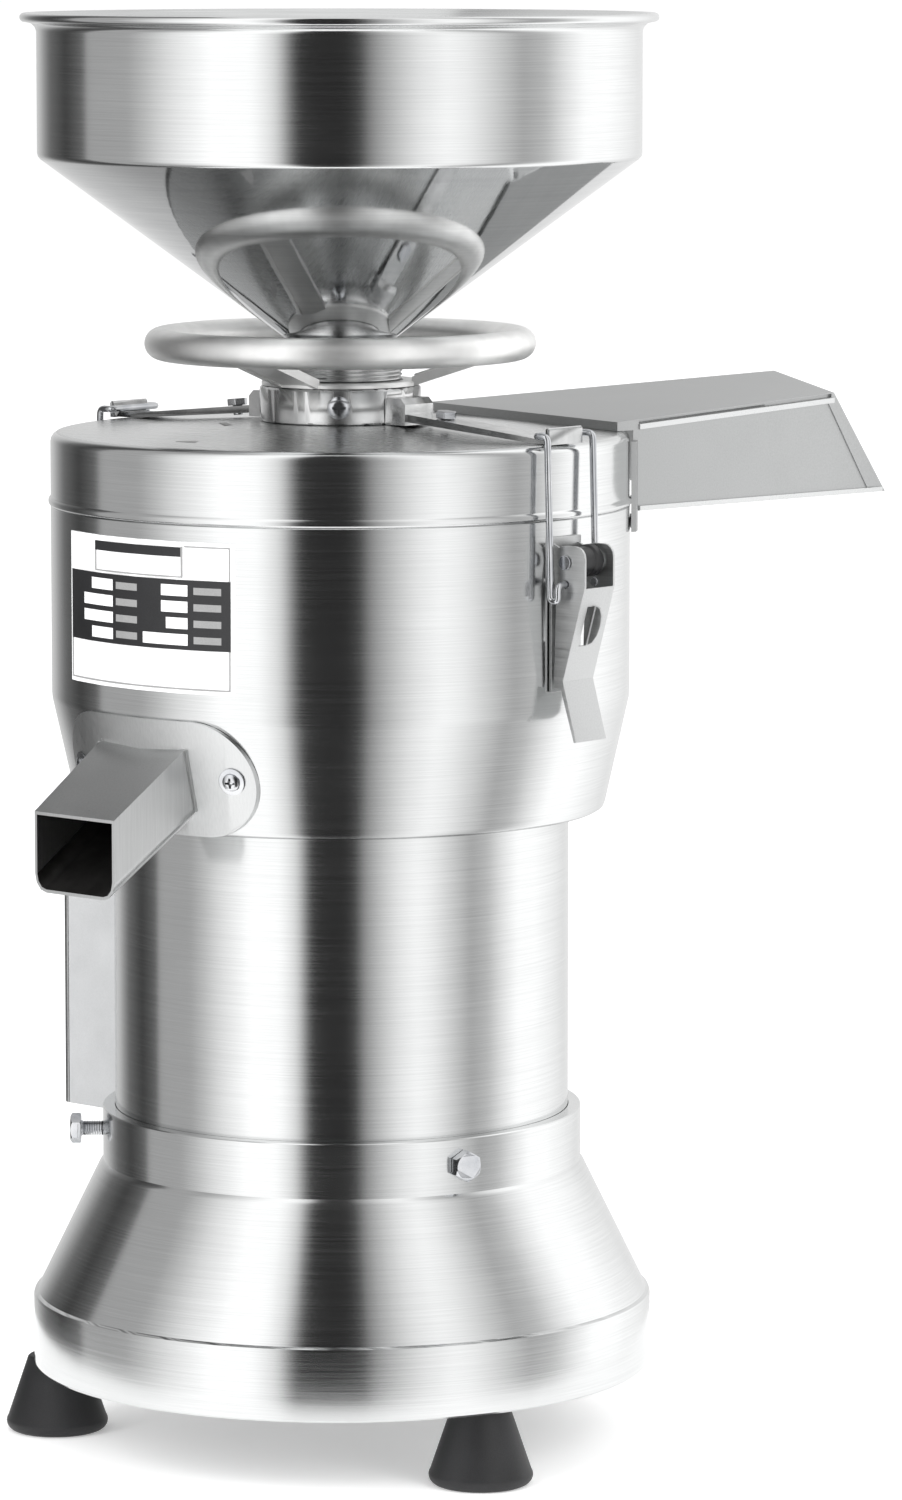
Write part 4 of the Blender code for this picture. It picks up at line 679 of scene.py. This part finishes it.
yoke = {"ring": 41.6, "bore": 37.0, "low": 531.3, "top": 549.5}


def makeYoke():
    y = yoke
    ring = turned([
        (y["bore"], y["top"]), (y["ring"] - 1.2, y["top"]), (y["ring"], y["top"] - 1.2),
        (y["ring"], y["low"] + 1.0), (y["ring"] - 1.0, y["low"]), (y["bore"], y["low"])], 120)
    return ring


def finishYoke():
    arms = copied("clamp_yoke")
    # The faceted ring of the copy is cut away and the turned one set in its place
    core = turned([(0.01, 560), (44.0, 560), (44.0, 520), (0.01, 520)], 120)
    combine(arms, [core], "DIFFERENCE")
    lugs = []
    for azimuth in (91.5, -88.5):
        lugs.append(spin(slab((-11, -45.0, 531.3), (11, -40.0, 544.95)), azimuth))
    piece = combine(makeYoke(), lugs + [arms], "UNION")
    soften(piece, 0.35)
    settle(piece, "clampYoke", "machinedAluminium", "stand", ["clamp_yoke"])


makeTube()
makeWheel()
finishYoke()
print("feed tube, handwheel and yoke made")

# ---- sheet and small pieces, softened copies of the flat CAD ones
sheets = {
    "switch_box": ("switchBox", "paleCoat", 0.8),
    "box_cover": ("boxCover", "satinSheetSteel", 0.8),
    "switch_bezel": ("switchBezel", "blackNylon", 0.4),
    "run_capacitor": ("runCapacitor", "blackNylon", 0.5),
}
pairs = {
    "latch_pin": ("latchPin", "zincPlatedSteel", 0.2),
    "latch_lever": ("latchLever", "satinSheetSteel", 0.25),
}


# The hood over the residue outlet: its folded edges stand proud, and the end plate laps round
chute = {"azimuth": 165, "topNear": (-89.0, -112.0), "topFar": (-64.0, -268.0), "inner": 112.0,
         "level": 531.0, "rise": 0.0507, "foot": 484.5, "run": 36.0, "lap": 9.0}


def makeChute():
    c = chute
    piece = copied("residue_chute")

    def topAt(y):
        return c["level"] + (-y - c["inner"]) * c["rise"]

    (x0, y0), (x1, y1) = c["topNear"], c["topFar"]
    along = Vector((x1 - x0, y1 - y0, 0)).normalized()
    outward = Vector((along.y, -along.x, 0))
    if outward.x > 0:
        outward = -outward
    reach = (Vector((x1, y1, 0)) - Vector((x0, y0, 0))).length
    slopeReach = c["run"] / -along.y

    def onWall(share, z, off=0.0):
        spot = Vector((x0, y0, 0)) + along * reach * share + outward * off
        return Vector((spot.x, spot.y, z))

    start = 0.097
    near, far = onWall(start, topAt(-130)), onWall(1.0, topAt(y1))
    foot = onWall(start, c["foot"])
    footEnd = onWall(1.0, c["foot"]) + along * slopeReach
    groove = bar(near + Vector((0, 0, -1.5)), far - along * 2 + Vector((0, 0, -1.5)), outward * 3.0,
                 (0, 0, 1.9))
    hems = [
        bar(near + Vector((0, 0, -4.0)), far + Vector((0, 0, -4.0)), outward * 1.6, (0, 0, 3.0)),
        bar(foot + outward * 0.3 + Vector((0, 0, 1.4)), footEnd + outward * 0.3 + Vector((0, 0, 1.4)),
            outward * 1.4, (0, 0, 2.6)),
        bar(far + outward * 0.1 - along * 2.5 + Vector((0, 0, -4.6)),
            footEnd + outward * 0.1 - along * c["lap"] + Vector((0, 0, 3.0)), outward * 1.1,
            along * 5.5)]
    combine(piece, [spin(groove, c["azimuth"])], "DIFFERENCE")
    # The folded hems are coloured lighter than the hood, a painted highlight along the folds, and the
    # lap over the end keeps the hood's dull sheet
    top, low, lap = [spin(hem, c["azimuth"]) for hem in hems]
    combine(piece, [lap], "UNION")
    soften(piece, 0.35)
    settle(piece, "residueChute", "dullSheetSteel", "stand", ["residue_chute"])
    for hem, name in ((top, "chuteTopHem"), (low, "chuteLowHem")):
        settle(soften(hem, 0.5), name, "hemPaintedHighlight", "stand")


# The duct's upper plate is welded on with a proud edge; its mouth and root are plain
spout = {"half": 29.0, "root": 146.0, "mouth": 194.6, "rootTop": 375.6, "mouthTop": 344.9,
         "jointLow": 344.0, "middle": 360.5, "tall": 29.6, "run": 34.0, "thick": 2.86}


def roundedFlange():
    # The flange with smoothly rounded ends, bent round the bowl's taper, open where the duct meets it
    s = spout
    low, high = s["middle"] - 31, s["middle"] + 31
    wall = [(136.5 + 12.9 * (z - 333.5) / 56.5, z) for z in (high, low)]
    thick = s["thick"]
    ring = turned([(wall[0][0] + thick, high), (wall[1][0] + thick, low), (wall[1][0] + 0.5, low),
                   (wall[0][0] + 0.5, high)], 288)
    ends = []
    for side in (-1, 1):
        end = rod(s["tall"], 100, 180, 96)
        end.rotation_euler = (radians(90), 0, 0)
        end.location = (side * s["run"] * mm, axisY, s["middle"] * mm)
        setPlace(end)
        ends.append(end)
    shape = slab((-s["run"], -180, -s["tall"]), (s["run"], -100, s["tall"]))
    shape.location = (0, axisY, s["middle"] * mm)
    setPlace(shape)
    combine(shape, ends, "UNION")
    combine(ring, [shape], "INTERSECT")
    opening = slab((-29.2, -180, 337.4), (29.2, -100, 376.8))
    opening.location = (0, axisY, 0)
    setPlace(opening)
    screws = []
    for azimuth in (-21, 21):
        hole = rod(2.7, -20, 20)
        screws.append(stood(hole, 12.9, azimuth, 145.8, 360.5))
    combine(ring, [opening] + screws, "DIFFERENCE")
    return ring


def stood(piece, lean, azimuth, radius, height):
    piece.rotation_euler = (radians(90 + lean), 0, 0)
    setPlace(piece)
    return spin(piece, azimuth, radius, height)


def makeSpout():
    s = spout
    piece = copied("milk_spout")
    grooves = [bar((side * 27.9, -s["root"] + 1, s["rootTop"]), (side * 26.2, -s["mouth"] + 2,
                   s["mouthTop"]), (0.8, 0, 0), (0, 0, 1.5)) for side in (-1, 1)]
    beads = []
    for side in (-1, 1):
        beads.append(bar((side * 30.2, -145.8, 375.5), (side * 30.1, -138.5, s["jointLow"]),
                         (1.6, 0, 0), (0, 3.0, 0)))
    for tool in grooves + beads:
        tool.location = (0, axisY, 0)
        setPlace(tool)
    beads.append(roundedFlange())
    combine(piece, grooves, "DIFFERENCE")
    combine(piece, beads, "UNION")
    soften(piece, 0.4)
    settle(piece, "milkSpout", "castSpoutSteel", "stand", ["milk_spout"])
    # Faces that look into the duct take the near-black painted shade
    piece.data.materials.append(finishes["ductPaintedShade"])
    for face in piece.data.polygons:
        spot = face.center / mm - Vector((0, axisY / mm, 0))
        middle = 357.0 - (-spot.y - 142.7) * 0.625
        inward = Vector((0, spot.y, middle)) - spot
        if abs(spot.x) < 28.6 and -s["mouth"] - 0.2 < spot.y < -134 and inward.dot(face.normal) > 0:
            if abs(spot.x) < 27.2 and abs(spot.z - middle) < 20.4:
                face.material_index = 1


# The plate over the spout: white enamel with a plain grid of empty cells, as (left, right, top,
# bottom) in mm over the plate's face
plateFace = {"skin": 150.7, "top": 480.0, "half": 59.0, "ink": [
    ("printedBlack", 27.0, 88.0, 2.8, 7.6), ("printedGrey", 27.0, 27.7, 7.6, 18.0),
    ("printedGrey", 27.7, 88.0, 17.3, 18.0), ("printedGrey", 88.0, 89.0, 2.4, 18.0),
    ("printedGrey", 90.0, 115.8, 2.0, 2.7), ("printedGrey", 115.1, 115.8, 2.7, 19.0),
    ("printedBlack", 2.5, 116.0, 19.0, 54.0), ("printedGrey", 2.5, 115.8, 73.2, 74.0),
    ("printedGrey", 115.1, 115.8, 54.0, 73.2), ("printedGrey", 2.5, 3.2, 54.0, 73.2)]}


def bent(piece, radius, low):
    # Arc length along X is wrapped round the bowl's wall
    for vert in piece.data.vertices:
        x, y, z = vert.co / mm
        angle = x / radius
        vert.co = Vector(((radius - y) * sin(angle), -(radius - y) * cos(angle) + axisY / mm,
                          low + z)) * mm
    return piece


def inkPatch(finish, left, right, top, low, lift):
    p = plateFace
    piece = slab((left - p["half"], -lift, -low), (right - p["half"], 0.05, -top))
    steps = max(1, round((right - left) / 4))
    bpy.ops.object.mode_set(mode="EDIT")
    bpy.ops.mesh.select_all(action="SELECT")
    for i in range(1, steps):
        x = (left - p["half"] + (right - left) * i / steps) * mm
        bpy.ops.mesh.select_all(action="SELECT")
        bpy.ops.mesh.bisect(plane_co=(x, 0, 0), plane_no=(1, 0, 0))
    bpy.ops.object.mode_set(mode="OBJECT")
    giveFinish(piece, finish)
    return bent(piece, p["skin"], p["top"])


def makePlate():
    p = plateFace
    piece = soften(copied("plate"), 0.2)
    giveFinish(piece, "enamelWhite")
    patches = [inkPatch(*spot, 0.08) for spot in p["ink"]]
    # Empty white cells in the dark field, two to a line and a short one beside each
    for row in range(4):
        top = 21.6 + row * 8.2
        inset = (24.0, 16.5, 16.5, 24.0)[row]
        wide = (76.0, 76.0, 79.0, 64.0)[row]
        patches.append(inkPatch("enamelWhite", inset, 42.0, top, top + 5.6, 0.14))
        patches.append(inkPatch("printedGrey", 44.5, 60.0, top + 1.0, top + 4.6, 0.14))
        patches.append(inkPatch("enamelWhite", wide, 92.0, top, top + 5.6, 0.14))
        patches.append(inkPatch("printedGrey", 95.5, 111.0, top + 1.0, top + 4.6, 0.14))
    piece = joined([piece] + patches)
    bpy.ops.object.shade_smooth_by_angle(angle=radians(38))
    piece.name = piece.data.name = "enamelPlate"
    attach(piece, "stand")
    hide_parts("plate")


# Screws: (head radius, head height, shank radius, shank length), seat at Z = 0, shank down -Z
def hexBolt(head, height, shank, length):
    piece = rod(head, 0, height, 6)
    chamfer = turned([(head * 0.84, height), (head * 1.01, height * 0.8), (head * 1.01, height * 0.12),
                      (head * 0.92, -0.01)], 48, closed=False, centre=(0, 0))
    combine(piece, [chamfer], "INTERSECT")
    rings = [(shank, 0.5)]
    z = -0.8
    while z > -length + 1.2:
        rings += [(shank, z), (shank - 0.5, z - 0.6)]
        z -= 1.25
    rings += [(shank, z), (shank - 0.9, -length)]
    combine(piece, [turned(rings, 24, closed=False, centre=(0, 0))], "UNION")
    return soften(piece, 0.12, angle=25)


def panScrew(head, height, shank, length, washer):
    piece = turned([
        (head * 0.45, height), (head * 0.75, height * 0.9), (head * 0.95, height * 0.66),
        (head, height * 0.42), (head, washer), (shank, washer), (shank, -length)], 40,
        closed=False, centre=(0, 0))
    cross = [slab((-head * 0.58, -0.55, height - 1.1), (head * 0.58, 0.55, height + 1)),
             slab((-0.55, -head * 0.58, height - 1.1), (0.55, head * 0.58, height + 1))]
    combine(piece, cross, "DIFFERENCE")
    if washer > 0.3:
        ring = turned([(head * 1.42, washer), (head * 1.5, washer - 0.15), (head * 1.5, 0.0),
                       (shank - 0.2, 0.0), (shank - 0.2, washer)], 48, centre=(0, 0))
        combine(piece, [ring], "UNION")
    return soften(piece, 0.12)


def makeScrews():
    for number, (azimuth, seat) in enumerate(zip(stand["boltAzimuths"], (124.8, 124.8, 136.0)), 1):
        piece = stood(hexBolt(8.0, 5.5, 4.0, seat - 105.0), 0, azimuth, seat, stand["boltHeight"])
        settle(piece, "collarBolt%d" % number, "zincPlatedSteel", "stand", ["collar_bolt_%d" % number])
    for side, azimuth in (("left", -21), ("right", 21)):
        piece = stood(panScrew(4.6, 2.9, 2.3, 7, 0.8), 12.9, azimuth, 145.8, 360.5)
        settle(piece, "spoutScrew" + side.capitalize(), "zincPlatedSteel", "stand",
               ["spout_screw_" + side])
    piece = stood(panScrew(6.0, 3.6, 3.0, 4.4, 0.0), 0, 42, 41.9, 540.4)
    settle(piece, "lockScrew", "zincPlatedSteel", "stand", ["lock_screw"])
    for node in ("arm_bolt_left", "arm_bolt_right", "foot_bolt_1", "foot_bolt_2", "foot_bolt_3",
                 "bowl_bolt_1", "bowl_bolt_2", "bowl_bolt_3"):
        piece = soften(copied(node), 0.4)
        settle(piece, node.replace("_", " ").title().replace(" ", ""), "zincPlatedSteel", "stand",
               [node])


# Plain signs on the lid: a triangle and a dash
def makeLidSigns():
    deselectAll()
    bpy.ops.mesh.primitive_cylinder_add(vertices=3, radius=7.5 * mm, depth=0.16 * mm)
    sign = bpy.context.object
    setPlace(sign)
    spin(sign, 0.5, 112.0, 526.46)
    dash = slab((-9, -2, -0.08), (9, 2, 0.08))
    spin(dash, -36, 60.0, 530.02)
    for piece, name in ((sign, "lidTriangle"), (dash, "lidDash")):
        giveFinish(piece, "printedGrey")
        piece.name = piece.data.name = name
        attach(piece, "stand")


def makeSheets():
    for side, azimuth in (("left", -88.5), ("right", 91.5)):
        piece = copied("latch_base_" + side)
        edge = spin(slab((-11.6, -180, 370), (11.6, -140, 500)), azimuth)
        combine(piece, [edge], "INTERSECT")
        soften(piece, 0.2)
        settle(piece, "latchBase" + side.capitalize(), "satinSheetSteel", "stand",
               ["latch_base_" + side])
    for node, (name, finish, width) in sheets.items():
        piece = soften(copied(node), width)
        settle(piece, name, finish, "stand", [node])
    for node, (name, finish, width) in pairs.items():
        for side in ("left", "right"):
            piece = soften(copied(node + "_" + side), width)
            body = "lever_" + side if node == "latch_lever" else "stand"
            settle(piece, name + side.capitalize(), finish, body, [node + "_" + side])
    piece = soften(copied("switch_rocker"), 0.3)
    settle(piece, "switchRocker", "blackNylon", "rocker", ["switch_rocker"])


# A black nylon roller turns on each latch pin, between the ears, with a waist in its middle; its rim is
# made large so its black fills the gap between the ears, painted shade for the shadow there
roller = {"bore": 2.9, "rim": 8.2, "waist": 7.2, "half": 8.3, "reach": 160.5, "height": 468.0}


def makeShadeRollers():
    r = roller
    for side, azimuth in (("Left", -88.5), ("Right", 91.5)):
        piece = turned([(r["bore"], -r["half"]), (r["rim"], -r["half"]), (r["rim"], -4.4),
                        (r["waist"], -3.4), (r["waist"], 3.4), (r["rim"], 4.4),
                        (r["rim"], r["half"]), (r["bore"], r["half"])], 40, centre=(0.0, 0.0))
        piece.rotation_euler = (0, radians(90), 0)
        setPlace(piece)
        spin(piece, azimuth, r["reach"], r["height"])
        settle(soften(piece, 0.4), "latchShadeRoller" + side, "blackNylon", "stand")


bail = {"wire": 1.8, "halfWidth": 17.8, "pivot": 160.5, "hookHeight": 457.0, "earHalf": 9.7,
        "top": 73.9, "foot": 4.7, "leg": 7.1, "cross": 15.0}


def makeBails():
    b = bail
    w = b["halfWidth"]
    half = [(b["earHalf"], 0, 0), (w, 0, 0), (w, 0, -8), (w, b["foot"], -8),
            (w, b["leg"], b["top"]), (w, b["cross"], b["top"])]
    corners = [Vector(c) * mm for c in half + [(-x, y, z) for x, y, z in reversed(half)]]
    for side, azimuth in (("right", 91.5), ("left", -88.5)):
        path = [corners[0]]
        for before, corner, after in zip(corners, corners[1:], corners[2:]):
            back = (before - corner)
            on = (after - corner)
            reach = min(3.0 * mm, back.length * 0.49, on.length * 0.49)
            first = corner + back.normalized() * reach
            last = corner + on.normalized() * reach
            for i in range(7):
                s = i / 6
                path.append(first * (1 - s) ** 2 + corner * 2 * s * (1 - s) + last * s ** 2)
        path.append(corners[-1])
        curve = bpy.data.curves.new("bail", "CURVE")
        curve.dimensions = "3D"
        curve.bevel_depth = b["wire"] * mm
        curve.bevel_resolution = 5
        curve.use_fill_caps = True
        spline = curve.splines.new("POLY")
        spline.points.add(len(path) - 1)
        for point, spot in zip(spline.points, path):
            point.co = (*spot, 1.0)
        piece = bpy.data.objects.new("bail", curve)
        bpy.context.scene.collection.objects.link(piece)
        pick(piece)
        bpy.ops.object.convert(target="MESH")
        spin(piece, azimuth, b["pivot"], b["hookHeight"])
        bpy.ops.object.shade_smooth_by_angle(angle=radians(40))
        settle(piece, "latchBail" + side.capitalize(), "zincPlatedSteel", "bail_" + side,
               ["latch_bail_" + side])


makeChute()
makeSpout()
makePlate()
makeScrews()
makeLidSigns()
makeSheets()
makeBails()
makeShadeRollers()
print("sheet pieces and latches made")

# ---- pieces that stay as their CAD solids take their finish here
carried = {
    "zincPlatedSteel": ["lower_bearing", "upper_bearing", "stone_nut"],
    "machinedAluminium": ["lower_end_shield", "upper_end_shield", "stone_holder", "shaft"],
    "lacqueredCore": ["stator", "rotor_core"],
    "blackNylon": ["cooling_fan", "cable_gland"],
    "blackRubber": ["shaft_seal"],
    "whiteSilicone": ["lid_gasket"],
    "satinSheetSteel": ["residue_tray", "straining_basket"],
    "corundumStone": ["lower_stone", "upper_stone"],
}
for finish, nodes in carried.items():
    for node in nodes:
        giveFinish(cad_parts[node], finish)
print("carried pieces finished")

deselectAll()
